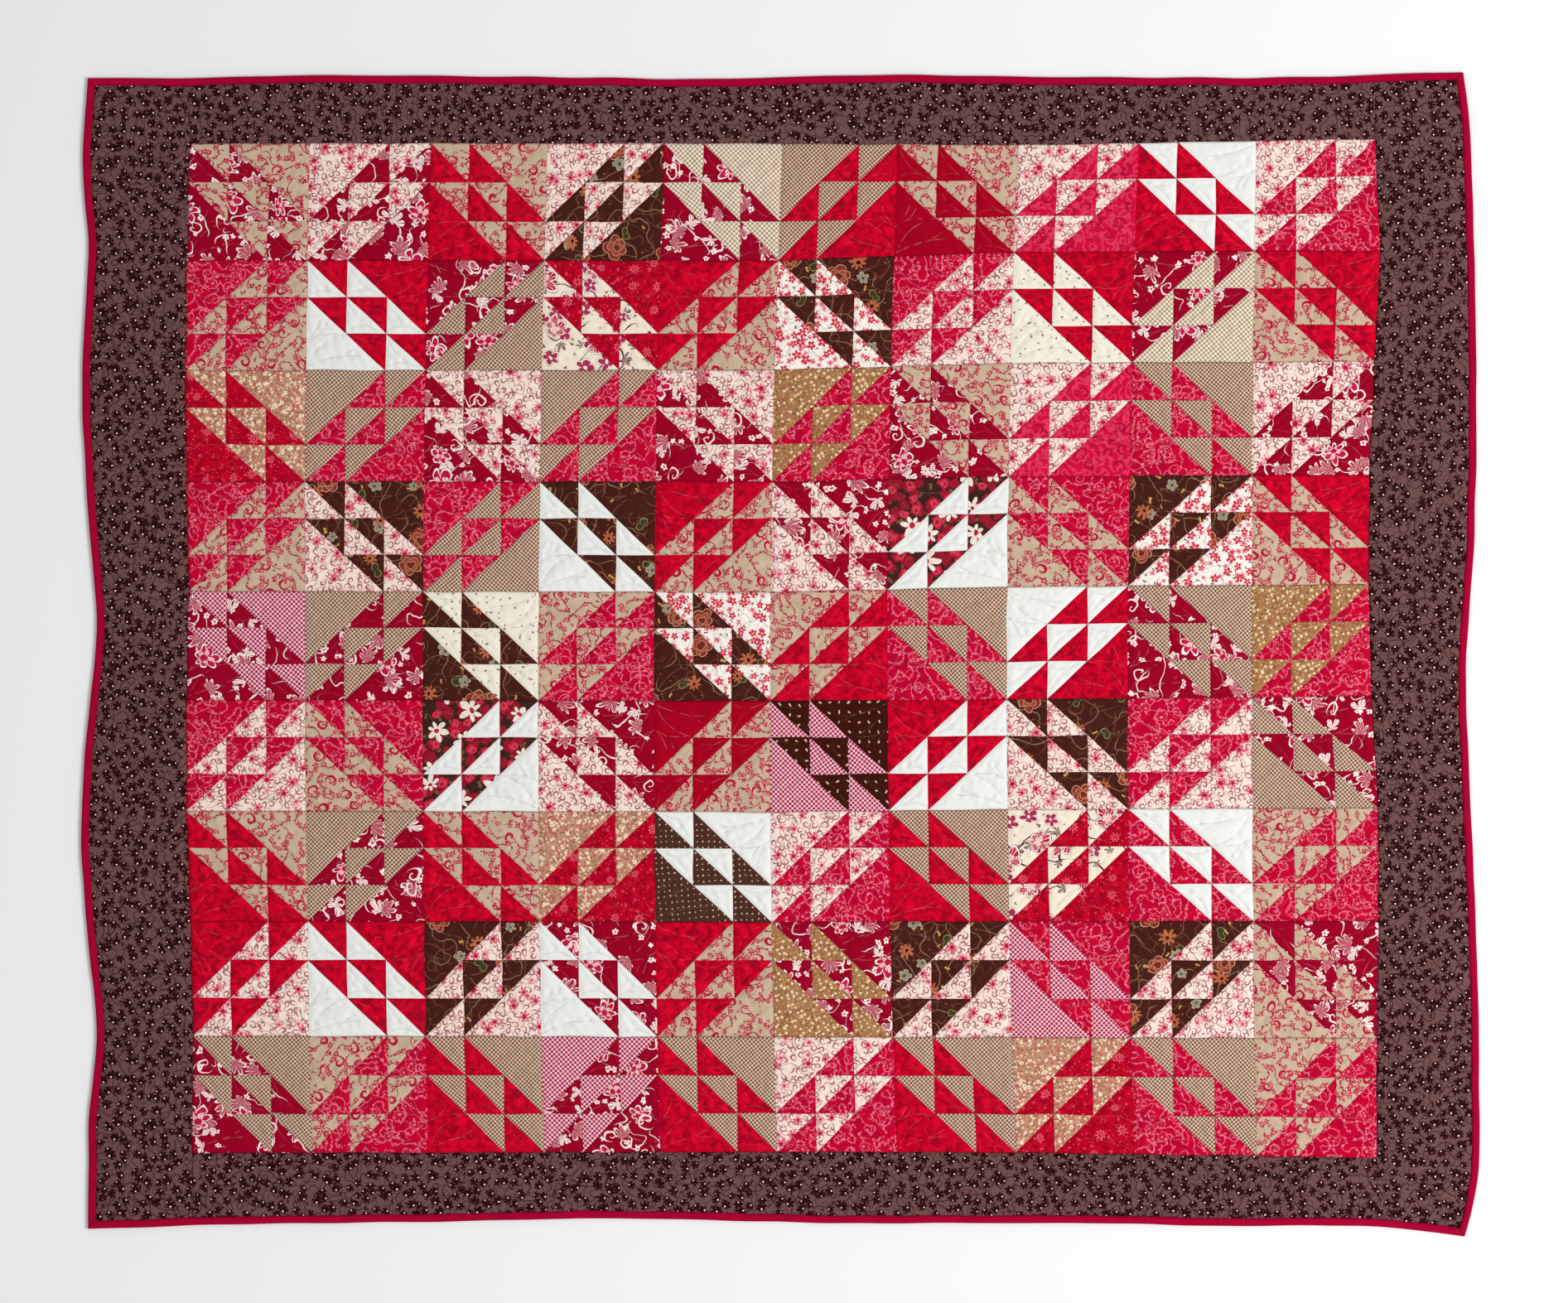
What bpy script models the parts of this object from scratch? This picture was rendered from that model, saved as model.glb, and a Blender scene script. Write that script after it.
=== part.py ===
"""Patchwork quilt, lying flat and face up.

Metres, +Z up. The origin is on the surface that the quilt lies on, under the middle of its outline.
+X runs along the quilt's width and +Y towards its top edge. Sizes below are in millimetres.

The centre is pieced from square blocks, three cells by three, each cell a half-square triangle. Every
block has two large triangles and ten small ones, and every patch stands up between its seams. Four
border strips surround the centre, and four binding strips wrap the borders' raw edge.
"""
from collections import namedtuple

import bmesh
import bpy
import numpy as np

MM = 0.001

# Layout of the pieced centre
BLOCK_COLUMNS = 10
BLOCK_ROWS = 9
CELLS = 3
CELL_COLUMNS = BLOCK_COLUMNS * CELLS
CELL_ROWS = BLOCK_ROWS * CELLS

# Heights above the surface
SEAM_HEIGHT = 4.2
SMALL_PUFF = 1.5
LARGE_PUFF = 1.5
LARGE_CROWN = 0.7
LARGE_INSET = 17.0
PUFF_SWAY = 0.22
PUFF_WAVE = (210.0, 165.0)
BORDER_PUFF = 1.5
BORDER_RIPPLE = 0.5
RIPPLE_WAVE = 148.0

# Gaps and the binding
PIECE_GAP = 0.3
MITRE_BACK = 0.25
BINDING_WIDTH = 10.3
BINDING_HEIGHT = 4.9
BINDING_WALL = 1.0
LOWER_LIP = 1.4
UPPER_LIP_UNDERSIDE = 3.3
LIP_EDGE_HEIGHT = 4.5
RAW_EDGE_DEPTH = 1.6
STEP_WIDTH = 0.15
ACROSS_SIDE_BORDER = (0.34, 0.68)
ACROSS_END_BORDER = 0.5

# Where each seam between columns of blocks crosses the centre's top, middle and bottom, left to right
ColumnSeam = namedtuple("ColumnSeam", "top middle bottom")
COLUMN_SEAMS = (
    ColumnSeam(-777, -780, -774),
    ColumnSeam(-619, -625, -616),
    ColumnSeam(-460, -470, -463),
    ColumnSeam(-306, -318, -311),
    ColumnSeam(-153, -166, -158),
    ColumnSeam(3, -13, -4),
    ColumnSeam(155, 141, 153),
    ColumnSeam(313, 298, 310),
    ColumnSeam(471, 457, 465),
    ColumnSeam(626, 620, 626),
    ColumnSeam(782, 777, 784),
)

# Height up the quilt of each seam between rows of blocks, top to bottom, and how far the row's two
# ends reach to the right of a straight side
RowSeam = namedtuple("RowSeam", "left middle beyond right left_end right_end")
ROW_SEAM_PLACES = (0.0, 0.5, 0.7, 1.0)
ROW_SEAMS = (
    RowSeam(672, 672, 670, 678, 0, 0),
    RowSeam(518, 518, 529, 531, -2, 9),
    RowSeam(373, 374, 383, 385, -3, 3),
    RowSeam(227, 227, 234, 236, -1, -3),
    RowSeam(83, 82, 89, 92, 2, -3),
    RowSeam(-60, -61, -59, -55, -1, 0),
    RowSeam(-206, -207, -204, -202, -2, 8),
    RowSeam(-351, -352, -351, -351, 2, 7),
    RowSeam(-502, -503, -504, -505, 4, 3),
    RowSeam(-656, -654, -655, -662, 0, 0),
)

# The finished outline, corner to corner: how far out it lies at each place along the side
EdgePoint = namedtuple("EdgePoint", "along out")
LEFT_EDGE = (
    EdgePoint(-755, -910), EdgePoint(-600, -908), EdgePoint(-496, -899), EdgePoint(-371, -911),
    EdgePoint(-223, -919), EdgePoint(-114, -913), EdgePoint(49, -899), EdgePoint(158, -908),
    EdgePoint(382, -918), EdgePoint(534, -910), EdgePoint(649, -917), EdgePoint(758, -911),
)
RIGHT_EDGE = (
    EdgePoint(-765, 900), EdgePoint(-730, 910), EdgePoint(-550, 919), EdgePoint(-387, 916),
    EdgePoint(-174, 907), EdgePoint(-11, 902), EdgePoint(120, 911), EdgePoint(425, 915),
    EdgePoint(589, 911), EdgePoint(703, 906), EdgePoint(765, 899),
)
TOP_EDGE = (
    EdgePoint(-911, 758), EdgePoint(-776, 758), EdgePoint(-645, 761), EdgePoint(-384, 760),
    EdgePoint(-57, 757), EdgePoint(74, 761), EdgePoint(401, 759), EdgePoint(728, 760),
    EdgePoint(826, 764), EdgePoint(899, 765.5),
)
BOTTOM_EDGE = (
    EdgePoint(-911, -756), EdgePoint(-776, -751), EdgePoint(-449, -746), EdgePoint(-253, -742),
    EdgePoint(74, -748), EdgePoint(467, -749), EdgePoint(597, -752), EdgePoint(728, -751),
    EdgePoint(794, -753), EdgePoint(859, -760), EdgePoint(899, -765.5),
)

# Looks: edges sharper than this many degrees stay crisp, and each piece has a base colour and roughness
SHARP_ANGLE = 40.0
Cloth = namedtuple("Cloth", "colour roughness")
PATCHWORK_CLOTH = Cloth((0.62, 0.22, 0.20, 1.0), 0.85)
BORDER_CLOTH = Cloth((0.15, 0.09, 0.08, 1.0), 0.85)
BINDING_CLOTH = Cloth((0.46, 0.01, 0.05, 1.0), 0.8)


def smooth(table, position):
    """Cubic curve through a table's rows, with slopes taken from each row's two neighbours."""
    along = np.array([row.along for row in table], dtype=float)
    out = np.array([row.out for row in table], dtype=float)
    slope = np.gradient(out, along)
    position = np.clip(position, along[0], along[-1])
    index = np.clip(np.searchsorted(along, position, side="right") - 1, 0, len(along) - 2)
    width = along[index + 1] - along[index]
    t = (position - along[index]) / width
    return (
        (1 + 2 * t) * (1 - t) ** 2 * out[index]
        + t * (1 - t) ** 2 * width * slope[index]
        + t * t * (3 - 2 * t) * out[index + 1]
        - t * t * (1 - t) * width * slope[index + 1]
    )


def side_x(side, y, depth):
    """Distance across of the left (-1) or right (+1) outline, set in by a depth."""
    table = LEFT_EDGE if side < 0 else RIGHT_EDGE
    return smooth(table, y) - side * depth


def end_y(end, x, depth):
    """Height up of the bottom (-1) or top (+1) outline, set in by a depth."""
    table = BOTTOM_EDGE if end < 0 else TOP_EDGE
    return smooth(table, x) - end * depth


def corner(side, end, depth):
    """Where a side and an end of the outline meet, both set in by the same depth."""
    x = side_x(side, 0.0, depth)
    y = end_y(end, 0.0, depth)
    for _ in range(6):
        x = side_x(side, y, depth)
        y = end_y(end, x, depth)
    return x, y


def centre_point(column, row):
    """Place on the pieced centre, for a column and row counted in cells from its top left corner."""
    column = np.asarray(column, dtype=float)
    row = np.asarray(row, dtype=float)
    across = column / CELL_COLUMNS
    down = row / CELL_ROWS
    seams = np.arange(BLOCK_COLUMNS + 1) * CELLS
    top, middle, bottom = (
        np.interp(column, seams, [getattr(seam, name) for seam in COLUMN_SEAMS])
        for name in ColumnSeam._fields
    )
    x = (
        top * (1 - down) * (1 - 2 * down)
        + middle * 4 * down * (1 - down)
        + bottom * down * (2 * down - 1)
    )
    rows = np.arange(BLOCK_ROWS + 1) * CELLS
    left_end = np.interp(row, rows, [seam.left_end for seam in ROW_SEAMS])
    right_end = np.interp(row, rows, [seam.right_end for seam in ROW_SEAMS])
    x = x + left_end * np.clip(1 - column / CELLS, 0, 1)
    x = x + right_end * np.clip(1 - (CELL_COLUMNS - column) / CELLS, 0, 1)
    heights = [
        np.interp(row, rows, [seam[place] for seam in ROW_SEAMS])
        for place in range(len(ROW_SEAM_PLACES))
    ]
    y = heights[0]
    for place in range(1, len(ROW_SEAM_PLACES)):
        start = ROW_SEAM_PLACES[place - 1]
        span = ROW_SEAM_PLACES[place] - start
        y = y + (heights[place] - heights[place - 1]) * np.clip((across - start) / span, 0, 1)
    return x, y


def make_material(name, cloth):
    """Plain fabric in one colour."""
    material = bpy.data.materials.new(name)
    material.use_nodes = True
    shader = material.node_tree.nodes["Principled BSDF"]
    shader.inputs["Base Color"].default_value = cloth.colour
    shader.inputs["Roughness"].default_value = cloth.roughness
    shader.inputs["Metallic"].default_value = 0.0
    material.diffuse_color = cloth.colour
    return material


def make_object(name, shape, cloth):
    """Scene object from a bmesh in millimetres, with its normals turned outwards."""
    bmesh.ops.recalc_face_normals(shape, faces=shape.faces[:])
    bmesh.ops.scale(shape, vec=(MM, MM, MM), verts=shape.verts[:])
    mesh = bpy.data.meshes.new(name)
    shape.to_mesh(mesh)
    shape.free()
    mesh.shade_smooth()
    mesh.set_sharp_from_angle(angle=np.radians(SHARP_ANGLE))
    mesh.materials.append(make_material(name + "_cloth", cloth))
    piece = bpy.data.objects.new(name, mesh)
    bpy.context.scene.collection.objects.link(piece)
    return piece


def patches_of_block(leans_left):
    """Corners of a block's patches, in cells across and down, as (large triangles, small triangles).

    The block below is cut by diagonals that run down to the right. A block that leans left is its
    mirror image.
    """
    large = [
        [(1, 0), (2, 0), (3, 0), (3, 1), (3, 2), (2, 1)],
        [(0, 1), (1, 2), (2, 3), (1, 3), (0, 3), (0, 2)],
    ]
    small = []
    for down in range(CELLS):
        for across in range(CELLS):
            upper = [(across, down), (across + 1, down), (across + 1, down + 1)]
            lower = [(across, down), (across + 1, down + 1), (across, down + 1)]
            in_upper_large = (across, down) in ((1, 0), (2, 0), (2, 1))
            in_lower_large = (across, down) in ((0, 1), (0, 2), (1, 2))
            if not in_upper_large and (across, down) != (0, 2):
                small.append(upper)
            if not in_lower_large and (across, down) != (2, 0):
                small.append(lower)
    if leans_left:
        large = [[(CELLS - across, down) for across, down in patch] for patch in large]
        small = [[(CELLS - across, down) for across, down in patch] for patch in small]
    return large, small


def make_centre():
    """Pieced and quilted centre: seams low, each patch standing up between them, flat underneath."""
    shape = bmesh.new()
    seam_points = {}
    for down in range(CELL_ROWS + 1):
        for across in range(CELL_COLUMNS + 1):
            x, y = centre_point(across, down)
            seam_points[across, down] = shape.verts.new((x, y, SEAM_HEIGHT))
    large_faces = []
    small_faces = []
    for block_row in range(BLOCK_ROWS):
        for block_column in range(BLOCK_COLUMNS):
            large, small = patches_of_block((block_row + block_column) % 2 == 1)
            for patches, faces in ((large, large_faces), (small, small_faces)):
                for patch in patches:
                    corners = [
                        seam_points[block_column * CELLS + across, block_row * CELLS + down]
                        for across, down in patch
                    ]
                    faces.append(shape.faces.new(corners))
    rim = (
        [(across, 0) for across in range(CELL_COLUMNS)]
        + [(CELL_COLUMNS, down) for down in range(CELL_ROWS)]
        + [(across, CELL_ROWS) for across in range(CELL_COLUMNS, 0, -1)]
        + [(0, down) for down in range(CELL_ROWS, 0, -1)]
    )
    upper = [seam_points[place] for place in rim]
    lower = [shape.verts.new((point.co.x, point.co.y, 0.0)) for point in upper]
    for index, point in enumerate(upper):
        after = (index + 1) % len(upper)
        shape.faces.new((point, upper[after], lower[after], lower[index]))
    shape.faces.new(lower)
    bmesh.ops.recalc_face_normals(shape, faces=shape.faces[:])
    bmesh.ops.inset_individual(
        shape, faces=large_faces, thickness=LARGE_INSET, depth=LARGE_PUFF, use_even_offset=True
    )
    bmesh.ops.poke(shape, faces=large_faces, offset=LARGE_CROWN, center_mode="MEAN_WEIGHTED")
    bmesh.ops.poke(shape, faces=small_faces, offset=SMALL_PUFF, center_mode="MEAN_WEIGHTED")
    for point in shape.verts:
        puff = point.co.z - SEAM_HEIGHT
        if puff > 0:
            sway = np.sin(point.co.x / PUFF_WAVE[0]) * np.cos(point.co.y / PUFF_WAVE[1])
            point.co.z = SEAM_HEIGHT + puff * (1 + PUFF_SWAY * sway)
    return make_object("pieced_centre", shape, PATCHWORK_CLOTH)


def make_slab(name, x, y, top, underside):
    """Closed slab between two height grids over the same places."""
    shape = bmesh.new()
    rows, columns = x.shape
    layers = [
        [
            [shape.verts.new((x[j, i], y[j, i], height[j, i])) for i in range(columns)]
            for j in range(rows)
        ]
        for height in (top, underside)
    ]
    for layer in layers:
        for j in range(rows - 1):
            for i in range(columns - 1):
                shape.faces.new((layer[j][i], layer[j][i + 1], layer[j + 1][i + 1], layer[j + 1][i]))
    rim = (
        [(0, i) for i in range(columns - 1)]
        + [(j, columns - 1) for j in range(rows - 1)]
        + [(rows - 1, i) for i in range(columns - 1, 0, -1)]
        + [(j, 0) for j in range(rows - 1, 0, -1)]
    )
    for index, (j, i) in enumerate(rim):
        next_j, next_i = rim[(index + 1) % len(rim)]
        shape.faces.new(
            (layers[0][j][i], layers[0][next_j][next_i], layers[1][next_j][next_i], layers[1][j][i])
        )
    return make_object(name, shape, BORDER_CLOTH)


def border_heights(across, along, under_binding):
    """Top and underside of a border strip.

    Across runs from 0 at the binding to 1 at the seam with the centre, and the strip is highest half
    way. Where the binding wraps it, both faces are set back to make room for the binding's lips.
    """
    crown = np.sin(np.pi * np.clip(across, 0, 1))
    ripple = np.sin(along / RIPPLE_WAVE + 2 * across)
    top = SEAM_HEIGHT + crown * (BORDER_PUFF + BORDER_RIPPLE * ripple)
    top = np.where(under_binding, UPPER_LIP_UNDERSIDE - PIECE_GAP, top)
    underside = np.where(under_binding, LOWER_LIP + PIECE_GAP, 0.0)
    return top, underside


def make_side_border(side, name):
    """Left (-1) or right (+1) border strip, which runs the quilt's full height."""
    step = BINDING_WIDTH + PIECE_GAP
    depths = (RAW_EDGE_DEPTH, step, step + STEP_WIDTH)
    seam_column = 0 if side < 0 else CELL_COLUMNS
    seam_x, seam_y = centre_point(seam_column, np.arange(CELL_ROWS + 1))
    end_steps = len(depths) + 1
    rows = len(seam_y) + 2 * end_steps
    fractions = np.array([0.0] * len(depths) + list(ACROSS_SIDE_BORDER) + [1.0])
    columns = len(fractions)
    x = np.zeros((rows, columns))
    y = np.zeros((rows, columns))
    x[:] = side_x(side, 0.0, step)
    for _ in range(6):
        for end, seam in ((1, seam_y[0]), (-1, seam_y[-1])):
            order = range(end_steps) if end > 0 else range(rows - 1, rows - 1 - end_steps, -1)
            for index, row in enumerate(order):
                if index < len(depths):
                    y[row] = end_y(end, x[row], depths[index])
                else:
                    y[row] = (end_y(end, x[row], depths[-1]) + seam) / 2
        y[end_steps:rows - end_steps] = seam_y[:, None]
        inner = np.interp(-y, -seam_y, seam_x) + side * PIECE_GAP
        for column in range(columns):
            outer = side_x(side, y[:, column], depths[min(column, len(depths) - 1)])
            x[:, column] = outer + (inner[:, column] - outer) * fractions[column]
    under_binding = np.zeros(x.shape, dtype=bool)
    under_binding[:, :2] = True
    under_binding[:2, :] = True
    under_binding[-2:, :] = True
    top, underside = border_heights(fractions[None, :] + 0 * y, y, under_binding)
    return make_slab(name, x, y, top, underside)


def make_end_border(end, name):
    """Bottom (-1) or top (+1) border strip, between the two side borders."""
    step = BINDING_WIDTH + PIECE_GAP
    depths = (step + STEP_WIDTH, step, RAW_EDGE_DEPTH)
    seam_row = CELL_ROWS if end < 0 else 0
    seam_x, seam_y = centre_point(np.arange(CELL_COLUMNS + 1), seam_row)
    start = seam_y + end * PIECE_GAP
    finish = end_y(end, seam_x, depths[0])
    lines = [start, start + (finish - start) * ACROSS_END_BORDER]
    lines += [end_y(end, seam_x, depth) for depth in depths]
    y = np.array(lines)
    x = np.broadcast_to(seam_x, y.shape)
    across = np.array([1.0, 1.0 - ACROSS_END_BORDER, 0.0, 0.0, 0.0])[:, None] + 0 * x
    under_binding = np.zeros(x.shape, dtype=bool)
    under_binding[-2:, :] = True
    top, underside = border_heights(across, x, under_binding)
    return make_slab(name, x, y, top, underside)


def binding_profile():
    """Cross-section of the folded binding, as depths in from the outline and heights.

    It is a U on its side: a lower lip on the surface, a rounded outer edge, and an upper lip.
    """
    width = BINDING_WIDTH
    return (
        (width, 0.0), (BINDING_WALL + 0.2, 0.0), (0.0, 1.2), (0.0, BINDING_HEIGHT - 1.4),
        (1.4, BINDING_HEIGHT - 0.1), (width * 0.5, BINDING_HEIGHT), (width, LIP_EDGE_HEIGHT),
        (width, UPPER_LIP_UNDERSIDE), (BINDING_WALL, UPPER_LIP_UNDERSIDE),
        (BINDING_WALL, LOWER_LIP), (width, LOWER_LIP),
    )


def make_binding(name, stations, place, ends):
    """Binding strip carried along one side of the outline, with a mitre at each end.

    stations are places along the side, place(along, depth) gives a point of the outline set in by a
    depth, and ends(depth) gives the two mitred end points at that depth.
    """
    shape = bmesh.new()
    loops = []
    profile = binding_profile()
    for depth, height in profile:
        first, last = ends(depth)
        path = [first] + [place(along, depth) for along in stations] + [last]
        loops.append([shape.verts.new((x, y, height)) for x, y in path])
    for index, loop in enumerate(loops):
        following = loops[(index + 1) % len(loops)]
        for along in range(len(loop) - 1):
            shape.faces.new((loop[along], loop[along + 1], following[along + 1], following[along]))
    shape.faces.new([loop[0] for loop in loops])
    shape.faces.new([loop[-1] for loop in loops])
    return make_object(name, shape, BINDING_CLOTH)


def make_side_binding(side, name):
    """Binding strip on the left (-1) or right (+1) side."""
    seam_column = 0 if side < 0 else CELL_COLUMNS
    seam_y = centre_point(seam_column, np.arange(CELL_ROWS + 1))[1]
    top_y = (corner(side, 1, BINDING_WIDTH)[1] + seam_y[0]) / 2
    bottom_y = (corner(side, -1, BINDING_WIDTH)[1] + seam_y[-1]) / 2
    stations = [top_y, *seam_y, bottom_y]

    def ends(depth):
        """Mitred ends, top then bottom, a hair short of the true corners."""
        top = corner(side, 1, depth)
        bottom = corner(side, -1, depth)
        return (top[0], top[1] - MITRE_BACK), (bottom[0], bottom[1] + MITRE_BACK)

    return make_binding(name, stations, lambda y, depth: (side_x(side, y, depth), y), ends)


def make_end_binding(end, name):
    """Binding strip along the bottom (-1) or top (+1) end."""
    seam_row = CELL_ROWS if end < 0 else 0
    seam_x = centre_point(np.arange(CELL_COLUMNS + 1), seam_row)[0]
    stations = []
    for side, seam in ((-1, seam_x[0]), (1, seam_x[-1])):
        outer = corner(side, end, BINDING_WIDTH)[0]
        stations += [outer + (seam - outer) * part for part in ACROSS_SIDE_BORDER]
    stations = sorted(stations + list(seam_x))

    def ends(depth):
        """Mitred ends, left then right, a hair short of the true corners."""
        left = corner(-1, end, depth)
        right = corner(1, end, depth)
        return (left[0] + MITRE_BACK, left[1]), (right[0] - MITRE_BACK, right[1])

    return make_binding(name, stations, lambda x, depth: (x, end_y(end, x, depth)), ends)


def build():
    """Clear the scene and make every piece of the quilt."""
    for item in list(bpy.data.objects):
        bpy.data.objects.remove(item, do_unlink=True)
    make_centre()
    make_side_border(-1, "border_left")
    make_side_border(1, "border_right")
    make_end_border(1, "border_top")
    make_end_border(-1, "border_bottom")
    make_side_binding(-1, "binding_left")
    make_side_binding(1, "binding_right")
    make_end_binding(1, "binding_top")
    make_end_binding(-1, "binding_bottom")


build()
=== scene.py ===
"""Looks of the patchwork quilt: its prints, seams, quilting, border and binding, with a plain studio.

The quilt lies face up on a pale floor. The pieced centre is nine rows of blocks, each a padded strip
with its seams drawn in and its quilting stitched down. All tables and sizes are in millimetres, and
meshes are turned to metres as they are made.
"""

import logging
from collections.abc import Mapping
from dataclasses import dataclass, field
from enum import Enum

import bpy
import numpy as np
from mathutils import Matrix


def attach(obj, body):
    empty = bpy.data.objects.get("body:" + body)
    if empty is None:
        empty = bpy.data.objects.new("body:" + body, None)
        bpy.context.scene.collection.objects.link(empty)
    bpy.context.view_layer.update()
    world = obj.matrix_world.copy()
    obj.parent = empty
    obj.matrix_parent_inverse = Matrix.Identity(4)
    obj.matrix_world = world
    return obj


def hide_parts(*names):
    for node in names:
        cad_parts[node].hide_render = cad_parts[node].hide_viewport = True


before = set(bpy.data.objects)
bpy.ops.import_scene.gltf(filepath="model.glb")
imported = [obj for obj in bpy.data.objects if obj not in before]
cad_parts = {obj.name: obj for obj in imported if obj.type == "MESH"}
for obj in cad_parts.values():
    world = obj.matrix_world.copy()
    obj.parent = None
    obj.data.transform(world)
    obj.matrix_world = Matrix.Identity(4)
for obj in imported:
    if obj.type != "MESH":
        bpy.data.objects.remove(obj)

LOG = logging.getLogger("quilt")
MM = 0.001
BODY = "root"

# Layout of the pieced centre, counted in blocks and cells
BLOCK_COLUMNS = 10
BLOCK_ROWS = 9
CELLS = 3
CELL_COLUMNS = BLOCK_COLUMNS * CELLS
CELL_ROWS = BLOCK_ROWS * CELLS
CELL_SIZE = 50.8

# Legs of a large triangle, in cells, and the numbers kept for a block's patches: two for its large
# triangles and two for each cell
LARGE_LEG = 2
PATCH_NUMBERS = 2 + 2 * CELLS ** 2

# Small triangles lie this far across in the patch coordinates, so that one map tells them from large
SMALL_FLAG = 8.0

# Cells that a place on the line between two blocks is moved by, so that it counts to the right one
JUST_INSIDE = 1e-6

# Where each seam between columns of blocks crosses the centre's top, middle and bottom, left to right
COLUMN_SEAMS = (
    (-777, -780, -774), (-619, -625, -616), (-460, -470, -463), (-306, -318, -311),
    (-153, -166, -158), (3, -13, -4), (155, 141, 153), (313, 298, 310),
    (471, 457, 465), (626, 620, 626), (782, 777, 784),
)

# Height of each seam between rows of blocks at four places across, top to bottom, and how far the
# row's left and right ends reach to the right of a straight side
ROW_SEAM_PLACES = (0.0, 0.5, 0.7, 1.0)
ROW_SEAMS = (
    (672, 672, 670, 678, 0, 0), (518, 518, 529, 531, -2, 9), (373, 374, 383, 385, -3, 3),
    (227, 227, 234, 236, -1, -3), (83, 82, 89, 92, 2, -3), (-60, -61, -59, -55, -1, 0),
    (-206, -207, -204, -202, -2, 8), (-351, -352, -351, -351, 2, 7), (-502, -503, -504, -505, 4, 3),
    (-656, -654, -655, -662, 0, 0),
)

# The finished outline: place along each side, and how far out it lies there
LEFT_EDGE = (
    (-755, -910), (-600, -908), (-496, -899), (-371, -911), (-223, -919), (-114, -913), (49, -899),
    (158, -908), (382, -918), (534, -910), (649, -917), (758, -911),
)
RIGHT_EDGE = (
    (-765, 900), (-730, 910), (-550, 919), (-387, 916), (-174, 907), (-11, 902), (120, 911),
    (425, 915), (589, 911), (703, 906), (765, 899),
)
TOP_EDGE = (
    (-911, 758), (-776, 758), (-645, 761), (-384, 760), (-57, 757), (74, 761), (401, 759),
    (728, 760), (826, 764), (899, 765.5),
)
BOTTOM_EDGE = (
    (-911, -756), (-776, -751), (-449, -746), (-253, -742), (74, -748), (467, -749), (597, -752),
    (728, -751), (794, -753), (859, -760), (899, -765.5),
)

# Heights of the cloth, and the binding's cross-section
SEAM_HEIGHT = 4.0
BINDING_WIDTH = 10.3
BINDING_TOP = 5.1
LIP_UNDERSIDE = 3.2
TUCKED_HEIGHT = 3.0
RAW_EDGE_DEPTH = 1.6

# How far each piece stops short of the next, and the seam distance given to what is near no seam
JOIN_GAP = 0.05
FAR_FROM_SEAM = 9.0


class Lean(Enum):
    """Which way a block's diagonals run."""

    DOWN_TO_RIGHT = 0
    DOWN_TO_LEFT = 1


class Draw(Enum):
    """How a motif of a print is drawn."""

    BLOOM = "bloom"
    CURL = "curl"
    VINE = "vine"
    CHECK = "check"


def smooth(table: tuple, position: np.ndarray) -> np.ndarray:
    """Cubic curve through a table of (along, out) rows, its slopes taken from neighbouring rows.

    Args:
        table: rows of place along and distance out.
        position: places along at which the curve is wanted.

    Returns:
        The distance out at each place.
    """
    along, out = np.array(table, dtype=float).T
    slope = np.gradient(out, along)
    position = np.clip(position, along[0], along[-1])
    index = np.clip(np.searchsorted(along, position, side="right") - 1, 0, len(along) - 2)
    width = along[index + 1] - along[index]
    t = (position - along[index]) / width
    return (
        (1 + 2 * t) * (1 - t) ** 2 * out[index]
        + t * (1 - t) ** 2 * width * slope[index]
        + t * t * (3 - 2 * t) * out[index + 1]
        - t * t * (1 - t) * width * slope[index + 1]
    )


def side_x(side: int, y: np.ndarray, depth: float) -> np.ndarray:
    """Distance across of the left (-1) or right (+1) outline at height y, set in by a depth."""
    return smooth(LEFT_EDGE if side < 0 else RIGHT_EDGE, y) - side * depth


def end_y(end: int, x: np.ndarray, depth: float) -> np.ndarray:
    """Height of the bottom (-1) or top (+1) outline at distance x, set in by a depth."""
    return smooth(BOTTOM_EDGE if end < 0 else TOP_EDGE, x) - end * depth


def corner(side: int, end: int, depth: float, passes: int = 6) -> tuple[float, float]:
    """Where a side and an end of the outline meet, found by following each from the other in turn.

    Args:
        side: -1 for the left, +1 for the right.
        end: -1 for the bottom, +1 for the top.
        depth: how far both are set in.
        passes: how often each is followed.

    Returns:
        x and y in millimetres.
    """
    x = side_x(side, 0.0, depth)
    y = end_y(end, 0.0, depth)
    for _ in range(passes):
        x = side_x(side, y, depth)
        y = end_y(end, x, depth)
    return float(x), float(y)


def centre_point(column: np.ndarray, row: np.ndarray) -> tuple[np.ndarray, np.ndarray]:
    """Place on the pieced centre of a position counted in cells from its top left corner.

    Across, each column seam is a parabola through its three places. Down, each row seam is a line
    through its four places, and the row's ends step in and out.

    Args:
        column: cells from the left.
        row: cells from the top.

    Returns:
        x and y in millimetres.
    """
    across = column / CELL_COLUMNS
    down = row / CELL_ROWS
    seams = np.arange(BLOCK_COLUMNS + 1) * CELLS
    rows = np.arange(BLOCK_ROWS + 1) * CELLS
    table = np.array(COLUMN_SEAMS, dtype=float)
    top, middle, bottom = (np.interp(column, seams, table[:, k]) for k in range(3))
    x = (
        top * (1 - down) * (1 - 2 * down)
        + middle * 4 * down * (1 - down)
        + bottom * down * (2 * down - 1)
    )
    table = np.array(ROW_SEAMS, dtype=float)
    x = x + np.interp(row, rows, table[:, 4]) * np.clip(1 - column / CELLS, 0, 1)
    x = x + np.interp(row, rows, table[:, 5]) * np.clip(1 - (CELL_COLUMNS - column) / CELLS, 0, 1)
    heights = [np.interp(row, rows, table[:, k]) for k in range(len(ROW_SEAM_PLACES))]
    y = heights[0]
    for k in range(1, len(ROW_SEAM_PLACES)):
        start = ROW_SEAM_PLACES[k - 1]
        span = ROW_SEAM_PLACES[k] - start
        y = y + (heights[k] - heights[k - 1]) * np.clip((across - start) / span, 0, 1)
    return x, y


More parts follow.
